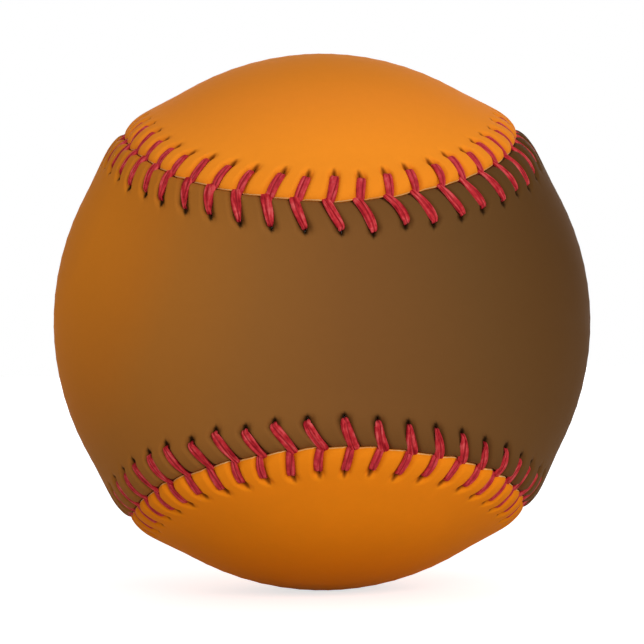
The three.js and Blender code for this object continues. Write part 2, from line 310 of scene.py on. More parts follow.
@dataclass(frozen=True)
class LeatherFinish:
    """Smooth dyed leather, whose colour runs along one direction of the ball.

    The scales are in patches to the metre, and the depth of the pores is in metres. The ramp is the
    print on the brown panel, and painted light and shade on the orange one.
    """

    name: str
    stops: Stops
    axis: Axis
    # fold paints the shade beside the legs, where the leather folds into their channels, and a little
    # darkening by handling along the seam
    fold: Colour
    # hole paints the shade of a hole and its slit, over the darker pressed leather round it
    hole: Colour
    # cut is the cut edge's own colour; on the brown panel it is dark, as painted shade in the seam's slit
    cut: Colour
    fan: float = 0.0
    # The inside colour is dark brown: partly the flesh side, partly painted shade on the walls of the holes
    # and the seam
    flesh: Colour = linear(92, 58, 32)
    gloss: float = 0.04
    roughness: float = 0.7
    roughness_spread: float = 0.12
    cloud_scale: float = 130.0
    speck_scale: float = 900.0
    grain_scale: float = 420.0
    pore_scale: float = 2300.0
    pore_smoothness: float = 0.6
    pore_share: float = 0.5
    pore_depth: float = 0.00001

    # How far the colour wanders along its gradient, and how clouds and specks change its tone
    wander: float = 0.03
    tone: float = 0.95
    cloudiness: float = 0.06
    speckle: float = 0.04

    # How strongly the painted shade beside the legs darkens, evenly and by the specks, and how the colour
    # of the cuts frays
    folding: float = 0.6
    speckled_folding: float = 0.6
    fraying_by_cloud: float = 2.0
    fraying_by_speck: float = 0.8
    fraying_loss: float = 0.6

    # Between which values of its mark a colour comes in
    HOLE_BOUNDS: ClassVar[tuple[float, float]] = (0.06, 0.85)
    CUT_BOUNDS: ClassVar[tuple[float, float]] = (0.55, 0.95)
    INSIDE_BOUNDS: ClassVar[tuple[float, float]] = (0.02, 0.25)

    def material(self) -> bpy.types.Material:
        """Make the material.

        Returns:
            The leather.
        """
        shader = Shader(self.name, Specular_IOR_Level=self.gloss)
        place = shader.place()
        x, y, z = shader.axes(place)
        along = x * self.axis[0] + y * self.axis[1] + z * self.axis[2]
        if self.fan:
            along = along * (1 + z * self.fan)
        cloud = shader.noise(place, self.cloud_scale, 3)
        speck = shader.noise(place, self.speck_scale, 2)
        share = along / (2 * BALL_RADIUS * MM) + 0.5 + (cloud - 0.5) * self.wander
        mottle = self.tone + cloud * self.cloudiness + speck * self.speckle
        tone = shader.node("ShaderNodeCombineColor", {}, {0: mottle, 1: mottle, 2: mottle})
        colour = shader.mix(1.0, shader.ramp(share, self.stops), tone, "MULTIPLY")
        folding = self.folding + speck * self.speckled_folding
        # Painted shade beside the legs, with a little darkening by handling along the seam
        colour = shader.mix(shader.mark("fold") * folding, colour, self.fold)
        # Painted shade of the holes and their slits, over the darker pressed leather round them
        colour = shader.mix(shader.mark("hole").between(*self.HOLE_BOUNDS), colour, self.hole)
        # The cut edge: pale on the orange panel, and dark on the brown one as painted shade in the seam's
        # slit
        frayed = cloud * self.fraying_by_cloud + speck * self.fraying_by_speck - self.fraying_loss
        colour = shader.mix(shader.mark("cut").between(*self.CUT_BOUNDS) * frayed, colour, self.cut)
        # The leather's inside: the flesh side, darkened as painted shade on the walls of the holes and the
        # seam
        colour = shader.mix(shader.mark("inside").between(*self.INSIDE_BOUNDS), colour, self.flesh)
        cells = {"Vector": place, "Scale": self.pore_scale, "Smoothness": self.pore_smoothness}
        pores = shader.node("ShaderNodeTexVoronoi", {"feature": "SMOOTH_F1"}, cells, "Distance")
        grain = shader.noise(place, self.grain_scale, 5)
        relief = shader.bump(pores * self.pore_share + grain, self.pore_depth)
        return shader.finish(colour, self.roughness + cloud * self.roughness_spread, relief)


@dataclass(frozen=True)
class ThreadFinish:
    """Waxed thread of two plies that lie side by side, streaked along by its fibres.

    The length is the thread's in millimetres, and the depth of the fibres is in metres.
    """

    name: str
    colour: Colour
    shade: Colour
    shine: Colour
    over_orange: Colour
    length: float = 2900.0
    gloss: float = 0.06
    roughness: float = 0.5
    roughness_spread: float = 0.2
    fibre_depth: float = 0.00006
    slub_share: float = 0.25
    over_orange_share: float = 0.35
    crease_share: float = 0.75

    # Streaks round the thread and to the millimetre along it, of the fibres and of the thicker slubs
    FIBRES: ClassVar[tuple[float, float]] = (11, 0.32)
    SLUBS: ClassVar[tuple[float, float]] = (3, 0.9)

    # Where the ramp of colours has its stops, and between which values of its mark the painted shade of the
    # crease comes in
    TONES: ClassVar[tuple[float, float, float]] = (0.36, 0.5, 0.66)
    CREASE_BOUNDS: ClassVar[tuple[float, float]] = (0.2, 0.9)

    def material(self) -> bpy.types.Material:
        """Make the material.

        Returns:
            The thread.
        """
        shader = Shader(self.name, Specular_IOR_Level=self.gloss)
        around, along = shader.lay()
        run = along * self.length
        fibre = shader.streaks(around * self.FIBRES[0], run * self.FIBRES[1], 4)
        slub = shader.streaks(around * self.SLUBS[0], run * self.SLUBS[1], 2)
        stops = tuple(zip(self.TONES, (self.shade, self.colour, self.shine)))
        colour = shader.ramp(fibre * (1 - self.slub_share) + slub * self.slub_share, stops)
        colour = shader.mix(shader.mark("orange_side") * self.over_orange_share, colour, self.over_orange)
        # Painted shade in the crease between the two plies
        crease_shade = shader.mark("crease").between(*self.CREASE_BOUNDS)
        colour = shader.mix(crease_shade * self.crease_share, colour, self.shade)
        relief = shader.bump(fibre, self.fibre_depth)
        return shader.finish(colour, self.roughness + fibre * self.roughness_spread, relief)


@dataclass(frozen=True)
class YarnFinish:
    """Wool or cotton yarn, spun with a slanting lay and a soft nap."""

    name: str
    pale: Colour
    dark: Colour
    plies: int
    turns_per_length: float
    gloss: float = 0.2
    sheen: float = 0.3
    roughness: float = 0.85
    roughness_spread: float = 0.12
    nap_scale: float = 1600.0
    nap_depth: float = 0.00008
    nap_height: float = 0.7

    # How the lay and the nap lighten the yarn, the lay as painted shade in the grooves between the plies,
    # and where its dark and its pale colour have their stops
    lay_share: float = 0.5
    nap_share: float = 0.6
    darkening: float = 0.05
    TONES: ClassVar[tuple[float, float]] = (0.15, 0.75)

    def material(self) -> bpy.types.Material:
        """Make the material.

        Returns:
            The yarn.
        """
        shader = Shader(self.name, Specular_IOR_Level=self.gloss, Sheen_Weight=self.sheen)
        around, along = shader.lay()
        turns = around * self.plies + along * self.turns_per_length
        lay = (turns * (2 * math.pi)).sine() * 0.5 + 0.5
        nap = shader.noise(shader.place(), self.nap_scale, 5)
        # The lay is darker in the grooves between the plies, which the bump sinks: painted shade
        shade = lay * self.lay_share + nap * self.nap_share - self.darkening
        colour = shader.ramp(shade, tuple(zip(self.TONES, (self.dark, self.pale))))
        relief = shader.bump(lay + nap * self.nap_height, self.nap_depth)
        return shader.finish(colour, self.roughness + nap * self.roughness_spread, relief)


@dataclass(frozen=True)
class RubberFinish:
    """Moulded rubber, dull, with a fine powdery bloom."""

    name: str
    colour: Colour
    bloom: Colour
    gloss: float = 0.4
    roughness: float = 0.55
    roughness_spread: float = 0.25
    patch_scale: float = 220.0
    patch_height: float = 0.5
    grit_scale: float = 2600.0
    grit_depth: float = 0.00006
    bloom_share: float = 0.35

    # Between which values of the patches the bloom comes in
    BLOOM_BOUNDS: ClassVar[tuple[float, float]] = (0.45, 0.75)

    def material(self) -> bpy.types.Material:
        """Make the material.

        Returns:
            The rubber.
        """
        shader = Shader(self.name, Specular_IOR_Level=self.gloss)
        place = shader.place()
        patch = shader.noise(place, self.patch_scale, 4)
        grit = shader.noise(place, self.grit_scale, 3)
        bloomed = patch.between(*self.BLOOM_BOUNDS)
        colour = shader.mix(bloomed * self.bloom_share, self.colour, self.bloom)
        relief = shader.bump(grit + patch * self.patch_height, self.grit_depth)
        return shader.finish(colour, self.roughness + patch * self.roughness_spread, relief)


@dataclass(frozen=True)
class CorkFinish:
    """Pressed cork crumbs bound with rubber."""

    name: str
    crumb: Colour
    toasted: Colour
    binder: Colour
    gloss: float = 0.2
    roughness: float = 0.88
    roughness_spread: float = 0.1
    warp_scale: float = 350.0
    warp_share: float = 0.3
    warp_height: float = 0.6
    crumb_scale: float = 900.0
    crumb_depth: float = 0.00012
    binder_share: float = 0.7

    # How wide the joints are, and where the toasted and the usual colour of the crumbs have their stops
    JOINT_BOUNDS: ClassVar[tuple[float, float]] = (0.02, 0.12)
    TONES: ClassVar[tuple[float, float]] = (0.2, 0.65)

    def material(self) -> bpy.types.Material:
        """Make the material.

        Returns:
            The cork.
        """
        shader = Shader(self.name, Specular_IOR_Level=self.gloss)
        place = shader.place()
        warp = shader.noise(place, self.warp_scale, 3)
        crumbs = {"Vector": place, "Scale": self.crumb_scale}
        shade, _, _ = shader.axes(shader.node("ShaderNodeTexVoronoi", {}, crumbs, "Color"))
        joints = shader.node("ShaderNodeTexVoronoi", {"feature": "DISTANCE_TO_EDGE"}, crumbs, "Distance")
        gap = 1 - joints.between(*self.JOINT_BOUNDS)
        stops = tuple(zip(self.TONES, (self.toasted, self.crumb)))
        colour = shader.ramp(shade * (1 - self.warp_share) + warp * self.warp_share, stops)
        colour = shader.mix(gap * self.binder_share, colour, self.binder)
        relief = shader.bump(warp * self.warp_height - gap, self.crumb_depth)
        return shader.finish(colour, self.roughness + warp * self.roughness_spread, relief)


# Modelling steps


def deselect() -> None:
    """Leave nothing selected, in object mode."""
    if bpy.context.object is not None and bpy.context.object.mode != "OBJECT":
        bpy.ops.object.mode_set(mode="OBJECT")
    bpy.ops.object.select_all(action="DESELECT")


def pick(piece: bpy.types.Object) -> None:
    """Select one piece alone, and make it the active one.

    Args:
        piece: The piece.
    """
    deselect()
    piece.select_set(True)
    bpy.context.view_layer.objects.active = piece


@contextmanager
def editing(piece: bpy.types.Object) -> Iterator[None]:
    """Edit one piece, with all of it selected.

    Args:
        piece: The piece.

    Yields:
        Nothing; the piece is in edit mode meanwhile.
    """
    pick(piece)
    bpy.ops.object.mode_set(mode="EDIT")
    bpy.ops.mesh.select_all(action="SELECT")
    yield
    bpy.ops.object.mode_set(mode="OBJECT")


def apply_modifier(piece: bpy.types.Object, kind: str, **settings: Any) -> None:
    """Put a modifier on a piece and apply it.

    Args:
        piece: The piece.
        kind: The modifier's type.
        settings: Its properties.
    """
    pick(piece)
    modifier = piece.modifiers.new(kind.title(), kind)
    for setting, value in settings.items():
        setattr(modifier, setting, value)
    bpy.ops.object.modifier_apply(modifier=modifier.name)


def thicken(piece: bpy.types.Object, thickness: float) -> None:
    """Give a skin a wall of a thickness in millimetres, inwards from its surface."""
    apply_modifier(piece, "SOLIDIFY", thickness=thickness * MM, offset=-1.0)


def soften(piece: bpy.types.Object) -> None:
    """Round the sharp edges of a moulded piece."""
    apply_modifier(piece, "BEVEL", width=SOFT_EDGE * MM, segments=3, limit_method="ANGLE",
                   angle_limit=SHARP_ANGLE)


def joined(name: str, parts: Sequence[bpy.types.Object]) -> bpy.types.Object:
    """Join several objects into one piece.

    Args:
        name: The piece's name.
        parts: The objects.

    Returns:
        The piece.
    """
    deselect()
    for part in parts:
        part.select_set(True)
    bpy.context.view_layer.objects.active = parts[0]
    bpy.ops.object.join()
    parts[0].name = name
    return parts[0]


def points_of(piece: bpy.types.Object) -> np.ndarray:
    """Return the places of a piece's points.

    Args:
        piece: The piece.

    Returns:
        The places in metres, as rows of three.
    """
    places = np.empty(len(piece.data.vertices) * 3)
    piece.data.vertices.foreach_get("co", places)
    return places.reshape(-1, 3)


def move_points(piece: bpy.types.Object, places: np.ndarray) -> None:
    """Write the places of a piece's points, in metres."""
    piece.data.vertices.foreach_set("co", np.ascontiguousarray(places, dtype=np.float32).ravel())
    piece.data.update()


def middles_of(piece: bpy.types.Object, what: str = "center") -> np.ndarray:
    """Return the middles of a piece's faces, or their normals.

    Args:
        piece: The piece.
        what: The property of the faces, center or normal.

    Returns:
        The numbers, as rows of three.
    """
    numbers = np.empty(len(piece.data.polygons) * 3)
    piece.data.polygons.foreach_get(what, numbers)
    return numbers.reshape(-1, 3)


def paint(piece: bpy.types.Object, name: str, values: np.ndarray) -> None:
    """Keep one number for each point of a piece, for its material.

    Args:
        piece: The piece.
        name: The attribute's name.
        values: The numbers.
    """
    attribute = piece.data.attributes.get(name) or piece.data.attributes.new(name, "FLOAT", "POINT")
    attribute.data.foreach_set("value", np.ascontiguousarray(values, dtype=np.float32))


def read_mark(piece: bpy.types.Object, name: str) -> np.ndarray:
    """Return the numbers kept on a piece's points.

    Args:
        piece: The piece.
        name: The attribute's name.

    Returns:
        The numbers.
    """
    values = np.empty(len(piece.data.vertices))
    piece.data.attributes[name].data.foreach_get("value", values)
    return values


def wrapped_grid(name: str, places: np.ndarray, marks: Mapping[str, np.ndarray] | None = None,
                 openings: np.ndarray | None = None, ends: Ends = Ends.OPEN) -> bpy.types.Object:
    """Lay a flat grid round a curved surface and join it where its sides meet.

    Args:
        name: The piece's name.
        places: The place of each point in millimetres, rows by columns by three. The last column
            lies on the first.
        marks: Numbers to keep on the points, each rows by columns.
        openings: Which faces are cut out, rows by columns of faces.
        ends: Whether the first and the last row are closed.

    Returns:
        The piece.
    """
    rows, columns = places.shape[:2]
    deselect()
    bpy.ops.mesh.primitive_grid_add(x_subdivisions=columns - 1, y_subdivisions=rows - 1, size=2)
    piece = bpy.context.active_object
    piece.name = name

    def counted(flat: np.ndarray) -> tuple[np.ndarray, np.ndarray]:
        """Return the rows and the columns, with fractions, of places on the flat grid."""
        return (flat[:, 1] + 1) / 2 * (rows - 1), (flat[:, 0] + 1) / 2 * (columns - 1)

    row, column = (np.rint(number).astype(int) for number in counted(points_of(piece)))
    for mark, values in (marks or {}).items():
        paint(piece, mark, values[row, column])
    if openings is not None:
        row, column = (np.floor(number).astype(int) for number in counted(middles_of(piece)))
        cut_out(piece, openings[row, column])
        row, column = (np.rint(number).astype(int) for number in counted(points_of(piece)))
    move_points(piece, places[row, column] * MM)
    with editing(piece):
        bpy.ops.mesh.remove_doubles(threshold=WELD_DISTANCE)
        if ends is Ends.CAPPED:
            bpy.ops.mesh.select_mode(type="EDGE")
            bpy.ops.mesh.select_all(action="DESELECT")
            bpy.ops.mesh.select_non_manifold()
            bpy.ops.mesh.fill_holes(sides=0)
            bpy.ops.mesh.select_mode(type="VERT")
            bpy.ops.mesh.select_all(action="SELECT")
        bpy.ops.mesh.normals_make_consistent(inside=False)
    return piece


def cut_out(piece: bpy.types.Object, chosen: np.ndarray) -> None:
    """Delete some faces of a piece, with the edges and points that only they use.

    Args:
        piece: The piece.
        chosen: Which of its faces go.
    """
    with editing(piece):
        bpy.ops.mesh.select_mode(type="FACE")
        bpy.ops.mesh.select_all(action="DESELECT")
    piece.data.polygons.foreach_set("select", chosen)
    bpy.ops.object.mode_set(mode="EDIT")
    bpy.ops.mesh.delete(type="FACE")
    bpy.ops.mesh.select_mode(type="VERT")
    bpy.ops.object.mode_set(mode="OBJECT")


def face_away_from_centre(piece: bpy.types.Object) -> None:
    """Turn an open skin's faces outwards, if they point at the ball's centre."""
    if np.sum(middles_of(piece) * middles_of(piece, "normal")) < 0:
        with editing(piece):
            bpy.ops.mesh.flip_normals()


@dataclass
class Piece:
    """What every piece of the ball is told once it is made."""

    name: str
    nodes: tuple[str, ...]
    slot: str
    material: bpy.types.Material

    def dress(self, made: bpy.types.Object) -> bpy.types.Object:
        """Name a mesh, give it its finish and set it in the place of its solids.

        Args:
            made: The mesh.

        Returns:
            The same mesh.
        """
        made.name = self.name
        made.data.name = self.name
        made.data.materials.clear()
        made.data.materials.append(self.material)
        pick(made)
        bpy.ops.object.shade_smooth_by_angle(angle=SHARP_ANGLE)
        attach(made, "root")
        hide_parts(*self.nodes)
        log.info("%s: %d points, stands for %s", made.name, len(made.data.vertices), ", ".join(self.nodes))
        return made


# The seam and its stitches


def unit(vectors: np.ndarray) -> np.ndarray:
    """Return vectors brought to a length of 1."""
    return vectors / np.linalg.norm(vectors, axis=-1, keepdims=True)


def bell(away: np.ndarray, reach: float, power: int = 2) -> np.ndarray:
    """Return 1 at no distance, falling to 0 on both sides by about a reach."""
    return np.exp(-((away / reach) ** power))


def rising(values: np.ndarray, start: float, length: float) -> np.ndarray:
    """Return 0 up to a start, rising evenly to 1 over a length."""
    return np.clip((values - start) / length, 0, 1)


def chance(rng: np.random.Generator, size: int | None = None) -> np.ndarray:
    """Return errors with a spread of 1, none of them a rare large one."""
    return np.clip(rng.normal(size=size), -CHANCE_LIMIT, CHANCE_LIMIT)


@dataclass
class SeamLine:
    """The closed line on which the two panels meet, measured off by its length in millimetres."""

    waist_half_angle: float = 0.435
    lobe_swing: float = 0.372
    lobe_swing_harmonic: float = 0.0243
    latitude_harmonic: float = 0.0022
    samples: int = 20000
    small_turn: float = 1e-4

    def __post_init__(self) -> None:
        """Measure the line."""
        self.turns = np.linspace(0, 4 * np.pi, self.samples + 1)
        steps = np.linalg.norm(np.diff(self.point(self.turns), axis=0), axis=-1) * BALL_RADIUS
        self.lengths = np.concatenate([[0.0], np.cumsum(steps)])
        self.length = float(self.lengths[-1])

    def point(self, turn: np.ndarray) -> np.ndarray:
        """Return the points of the line on the unit ball.

        Args:
            turn: The line's parameter, from 0 to 4 pi.

        Returns:
            The points.
        """
        harmonic = self.latitude_harmonic
        swing = (1 - harmonic) * np.cos(turn) + harmonic * np.cos(3 * turn)
        latitude = np.pi / 2 - (np.pi / 2 - self.waist_half_angle) * swing
        longitude = turn / 2 + self.lobe_swing * np.sin(2 * turn)
        longitude = longitude + self.lobe_swing_harmonic * np.sin(4 * turn)
        return np.stack([np.sin(latitude) * np.sin(longitude), -np.cos(latitude),
                         np.sin(latitude) * np.cos(longitude)], axis=-1)

    def frame(self, along: np.ndarray) -> tuple[np.ndarray, np.ndarray, np.ndarray]:
        """Return the directions at lengths along the line.

        Args:
            along: The lengths.

        Returns:
            The unit vectors out of the ball, along the line, and across it to the orange panel.
        """
        turn = np.interp(np.mod(along, self.length), self.lengths, self.turns)
        out = self.point(turn)
        forward = unit(self.point(turn + self.small_turn) - self.point(turn - self.small_turn))
        return out, forward, unit(np.cross(out, forward))

    def place(self, along: np.ndarray, across: np.ndarray, height: np.ndarray) -> np.ndarray:
        """Return points by their length along the line, distance across it and height over the ball.

        Args:
            along: The lengths.
            across: The distances towards the orange panel.
            height: The heights.

        Returns:
            The points in millimetres.
        """
        out, _, sideways = self.frame(along)
        angle = (across / BALL_RADIUS)[..., None]
        radius = (BALL_RADIUS + height)[..., None]
        return (out * np.cos(angle) + sideways * np.sin(angle)) * radius


@dataclass
class Stitches:
    """Where each double stitch has its two holes and where its two legs dive into the seam.

    The spacing of the stitches and the lean and reach of their legs follow the bends of the seam.
    The holes, the feet and the widths also vary a little from stitch to stitch, as handwork does.
    """

    seam: SeamLine
    count: int = 108
    phase: float = -0.4645

    # How far a crossing runs ahead of an even spacing, over each bend and round the whole seam
    spread: float = 1.45
    spread_fold: float = 0.3
    lateness: float = 0.26
    sway: float = 0.34

    # How far the holes run ahead of their crossings, besides their own lead
    lag: float = -0.3
    lag_swing: float = 0.7
    lag_flank: float = 0.55
    lag_fold: float = 0.3

    # The holes and the feet of the legs
    hole_lead: PerPanel[float] = PerPanel(0.95, 1.45)
    foot_lead: PerPanel[float] = PerPanel(0.7, 0.1)
    hole_distance: PerPanel[float] = PerPanel(3.05, 3.72)
    reach_swing: PerPanel[float] = PerPanel(0.0, 0.4)
    reach_sway: PerPanel[float] = PerPanel(0.0, 0.12)
    leg_bow: PerPanel[float] = PerPanel(0.0, 0.05)

    # The unevenness of handwork: the usual error, and the shares of it in crossings and in reach
    unevenness: float = 0.13
    crossing_share: float = 0.7
    reach_share: float = 1.2
    least_slack: float = 0.5
    most_bulge: float = 0.42
    bulge_rarity: float = 1.5
    seed: int = 27

    # How high the middle of a leg lies over the ball, at distances from the seam
    LEG_HEIGHTS: ClassVar[Profile] = (
        (-0.3, 0.2), (0.0, 0.27), (0.5, 0.4), (1.0, 0.51), (1.7, 0.59), (2.4, 0.61), (3.0, 0.58),
        (3.5, 0.5), (3.85, 0.42), (4.3, 0.34), (8.0, 0.2))

    def __post_init__(self) -> None:
        """Set out the stitches."""
        rng = np.random.default_rng(self.seed)
        self.pitch = self.seam.length / self.count
        even = self.pitch * (np.arange(self.count) + self.phase)
        angle = self.swing(even)
        early = np.sin(angle) * (self.spread - self.spread_fold * np.cos(angle))
        late = self.lateness * (1 - np.cos(angle)) ** 2
        slow = np.cos(2 * np.pi / self.seam.length * even)
        self.crossings = even + early + late + self.sway * slow + self.jitter(rng, self.crossing_share)
        flank, middle = np.sin(self.swing(self.crossings)), np.cos(self.swing(self.crossings))
        lag = self.lag + self.lag_swing * middle - flank * (self.lag_flank - self.lag_fold * middle)
        self.feet = {side: self.crossings + self.foot_lead[side] for side in Side}
        self.holes = {side: self.crossings + self.hole_lead[side] + lag + self.jitter(rng) for side in Side}
        self.distances = {
            side: self.hole_distance[side] + self.reach_swing[side] * flank + self.reach_sway[side] * slow
            + self.jitter(rng, self.reach_share)
            for side in Side}
        self.bows = {side: self.leg_bow[side] + self.jitter(rng) for side in Side}
        self.slack = self.least_slack + (1 - self.least_slack) * rng.random(self.count)
        self.bulges = self.most_bulge * rng.random(self.count) ** self.bulge_rarity

    def swing(self, along: np.ndarray) -> np.ndarray:
        """Return the angle that turns once from the middle of one bend of the seam to the next."""
        return 8 * np.pi / self.seam.length * along

    def leg_height(self, across: np.ndarray) -> np.ndarray:
        """Return how high the middle of a leg lies over the ball, at distances from the seam."""
        return np.interp(across, *np.transpose(self.LEG_HEIGHTS))

    def jitter(self, rng: np.random.Generator, share: float = 1.0) -> np.ndarray:
        """Return a small error in millimetres for each stitch, as a share of the usual one."""
        return chance(rng, self.count) * self.unevenness * share

    def between(self, values: np.ndarray, number: np.ndarray, wrap: float = 0.0) -> np.ndarray:
        """Read values between the stitches too. Once round the ball they gain the wrap."""
        turns = np.concatenate([values - wrap, values, values + wrap])
        return np.interp(number, np.arange(-self.count, 2 * self.count), turns)

    def number_at(self, along: np.ndarray) -> np.ndarray:
        """Return the stitch numbers, with fractions, of lengths along the seam.

        Args:
            along: The lengths.

        Returns:
            The numbers.
        """
        length = self.seam.length
        turns = np.concatenate([self.crossings - length, self.crossings, self.crossings + length])
        return np.interp(np.mod(along, length), turns, np.arange(-self.count, 2 * self.count))

    def seam_drift(self, along: np.ndarray) -> np.ndarray:
        """Return how far the seam bulges between the stitches.

        Args:
            along: The lengths along the seam.

        Returns:
            The distances, negative because they run to the brown panel.
        """
        number = self.number_at(along)
        bulge = self.bulges[np.floor(number).astype(int) % self.count]
        return -bulge * np.sin(np.pi * np.mod(number, 1.0)) ** 2

    def near_feet(self, along: np.ndarray, reach: float) -> np.ndarray:
        """Return 1 at the feet of the legs, falling to 0 away from them.

        Args:
            along: The lengths along the seam.
            reach: How far it falls off, in millimetres.

        Returns:
            The shares.
        """
        length = self.seam.length
        near = np.zeros_like(along)
        nearest = np.rint(self.number_at(along)).astype(int)
        for feet in self.feet.values():
            for step in (-1, 0, 1):
                away = along - feet[(nearest + step) % self.count]
                away = np.mod(away + length / 2, length) - length / 2
                near = np.maximum(near, bell(away, reach, 4))
        return near


# The cover


@dataclass
class Columns:
    """What a panel's grid needs to know at each of its columns, which run with the legs."""

    number: np.ndarray
    phase: np.ndarray
    hole: np.ndarray
    foot: np.ndarray
    reach: np.ndarray
    bow: np.ndarray
    slack: np.ndarray


@dataclass
class CoverPanel:
    """One figure-eight panel: its holed, pillowed band along the seam and its smooth inner field.

    Its columns run with the legs of the stitches, so that each leg has its own channel.
    """

    side: Side
    stitches: Stitches
    piece: Piece
    waist_stitch: int
    waist_axis: Axis
    lobe_axis: Axis

    # The holes, the slits that run on past the thread, and the seam's edge
    slit_width: float = 0.6
    slit_reach: float = 1.6
    slit_lean: float = -0.65
    pinched: float = 0.25
    edge_gap: float = 0.035
    edge_gap_at_feet: float = 0.16
    edge_gap_reach: float = 0.5
    edge_gap_tail: float = 0.8

    # The channels under the legs and the pull of the legs on the seam
    leg_end: float = 0.43
    channel_depth: float = 0.27
    channel_half_width: float = 0.47
    channel_wall: float = 0.5
    channel_tail: float = 0.8
    pull: float = 0.8
    pull_reach: float = 0.62
    pull_width: float = 0.85
    pulled_height: float = 0.14
    drift_reach: float = 1.1

    # The pillows between the legs
    least_pillow: float = 0.92
    pillow_slack: float = 0.12

    # The painted shade beside the legs and round the holes, and the darkening by handling along the seam
    fold_half_width: float = 0.74
    fold_tail: float = 0.4
    handled: float = 0.15
    handled_reach: float = 3.9
    smear_width: float = 0.38
    smear_narrowing: float = 0.18

    # The inner field and the leather's inside
    lobe_centre_stitch: float = 20.0
    field_rows: int = 9
    ridge_tail: float = 0.12
    tail_reach: float = 2.4
    inner_radius: float = 36.05
    seam_inner_radius: float = 36.5

    # Where the columns lie between one leg and the next, and the rows from the seam inwards
    PHASES: ClassVar[tuple[float, ...]] = (
        0, 0.083, 0.15, 0.205, 0.275, 0.375, 0.5, 0.625, 0.725, 0.795, 0.85, 0.917)
    ROWS: ClassVar[tuple[float, ...]] = (
        0.0, 0.06, 0.14, 0.32, 0.6, 0.95, 1.35, 1.75, 2.15, 2.5, 2.85, 3.15,
        3.4, 3.7, 4.05, 4.45, 4.85, 5.15, 5.5, 5.95, 6.5, 7.2, 8.0)

    # How high a pillow stands over the ball, at distances from the seam
    PILLOW: ClassVar[Profile] = (
        (0.0, 0.22), (0.06, 0.39), (0.14, 0.5), (0.32, 0.66), (0.6, 0.81), (0.95, 0.92), (1.35, 0.98),
        (1.75, 1.0), (2.15, 1.0), (2.85, 0.95), (3.4, 0.87), (4.05, 0.75), (4.85, 0.6), (5.5, 0.48),
        (6.5, 0.31), (8.0, 0.12))

    # How much of the cut edge shows on the first rows
    CUT_ROWS: ClassVar[tuple[float, ...]] = (0.5, 0.87, 0.52, 0.0)

    # The rows that a hole lies between, half its width on each row, and how far out it lies usually
    HOLE_ROWS: ClassVar[tuple[int, int]] = (12, 15)
    HOLE_HALF_WIDTHS: ClassVar[Mapping[int, float]] = {
        11: 0.31, 12: 0.27, 13: 0.27, 14: 0.21, 15: 0.07, 16: 0.18}
    HOLE_MIDDLE: ClassVar[float] = 3.6

    # The rows that move outwards with a longer leg: their middle past the hole, and their spread
    SHIFT_MIDDLE: ClassVar[float] = 0.6
    SHIFT_REACH: ClassVar[float] = 1.6

    # The dents past a leg's end: depth, half width, distance past the end and reach
    DENTS: ClassVar[tuple[tuple[float, ...], ...]] = ((0.16, 0.5, 0.3, 0.55), (0.06, 0.3, 1.1, 0.6))

    # Where the painted shade of a hole comes and goes: distances past the leg's end, and their lengths
    SMEAR_COMES: ClassVar[tuple[float, float]] = (-0.8, 0.4)
    SMEAR_GOES: ClassVar[tuple[float, float]] = (0.3325, 0.95)

    def build(self) -> bpy.types.Object:
        """Make the panel.

        Returns:
            The finished piece.
        """
        columns = self._columns()
        band, under, fold_shade_marks, holes = self._band(columns)
        inner_field = self._field(columns.number, band[-1])
        places = np.concatenate([band, inner_field])
        shape = places.shape[:2]
        marks = {name: np.zeros(shape) for name in ("cut", "fold", "hole")}
        marks["cut"][:len(self.CUT_ROWS)] = np.array(self.CUT_ROWS)[:, None]
        marks["fold"][:len(fold_shade_marks)] = fold_shade_marks
        marks["hole"][:len(holes)] = holes
        below = np.concatenate([under, inner_field])
        below *= self.inner_radius / np.linalg.norm(below, axis=-1, keepdims=True)
        below[:len(self.ROWS) - 1] *= self.seam_inner_radius / self.inner_radius
        marks |= {f"below_{axis}": below[..., axis] for axis in range(3)}
        made = wrapped_grid(self.piece.name, places, marks, self._openings(shape))
        face_away_from_centre(made)
        self._add_inside(made)
        return self.piece.dress(made)

    def _columns(self) -> Columns:
        """Find where the columns lie against the stitches.

        Returns:
            The numbers of all the columns.
        """
        stitches, side = self.stitches, self.side
        number = np.add.outer(np.arange(stitches.count), np.array(self.PHASES)).ravel()
        number = np.append(number, stitches.count)
        length = stitches.seam.length
        return Columns(
            number, number - np.rint(number),
            stitches.between(stitches.holes[side], number, length),
            stitches.between(stitches.feet[side], number, length),
            stitches.between(stitches.distances[side], number),
            stitches.between(stitches.bows[side], number),
            stitches.between(stitches.slack, number))

    def _band(self, columns: Columns) -> tuple[np.ndarray, ...]:
        """Return the points of the band along the seam.

        Args:
            columns: Where the columns lie.

        Returns:
            The places, rows by columns by three, those below them on the leather's inside, how much painted
            shade beside the legs and darkening by handling each takes, and how much painted shade of a
            hole.
        """
        rows, under, fold_shade_marks, holes = [], [], [], []
        for index, away in enumerate(self.ROWS):
            shift = bell(away - self.HOLE_MIDDLE - self.SHIFT_MIDDLE, self.SHIFT_REACH)
            across = away + (columns.reach - self.HOLE_MIDDLE) * shift
            along, sideways, pinch = self._row(index, across, columns)
            past_leg = across - columns.reach - self.leg_end
            height = self._height(across, sideways, past_leg, columns.slack)
            rows.append(self._seated(along, across, height))
            under.append(self._seated(along + pinch, across, height))
            fold_shade_marks.append(self._fold(across, sideways, past_leg))
            holes.append(self._smear(sideways, past_leg))
        return tuple(np.array(part) for part in (rows, under, fold_shade_marks, holes))

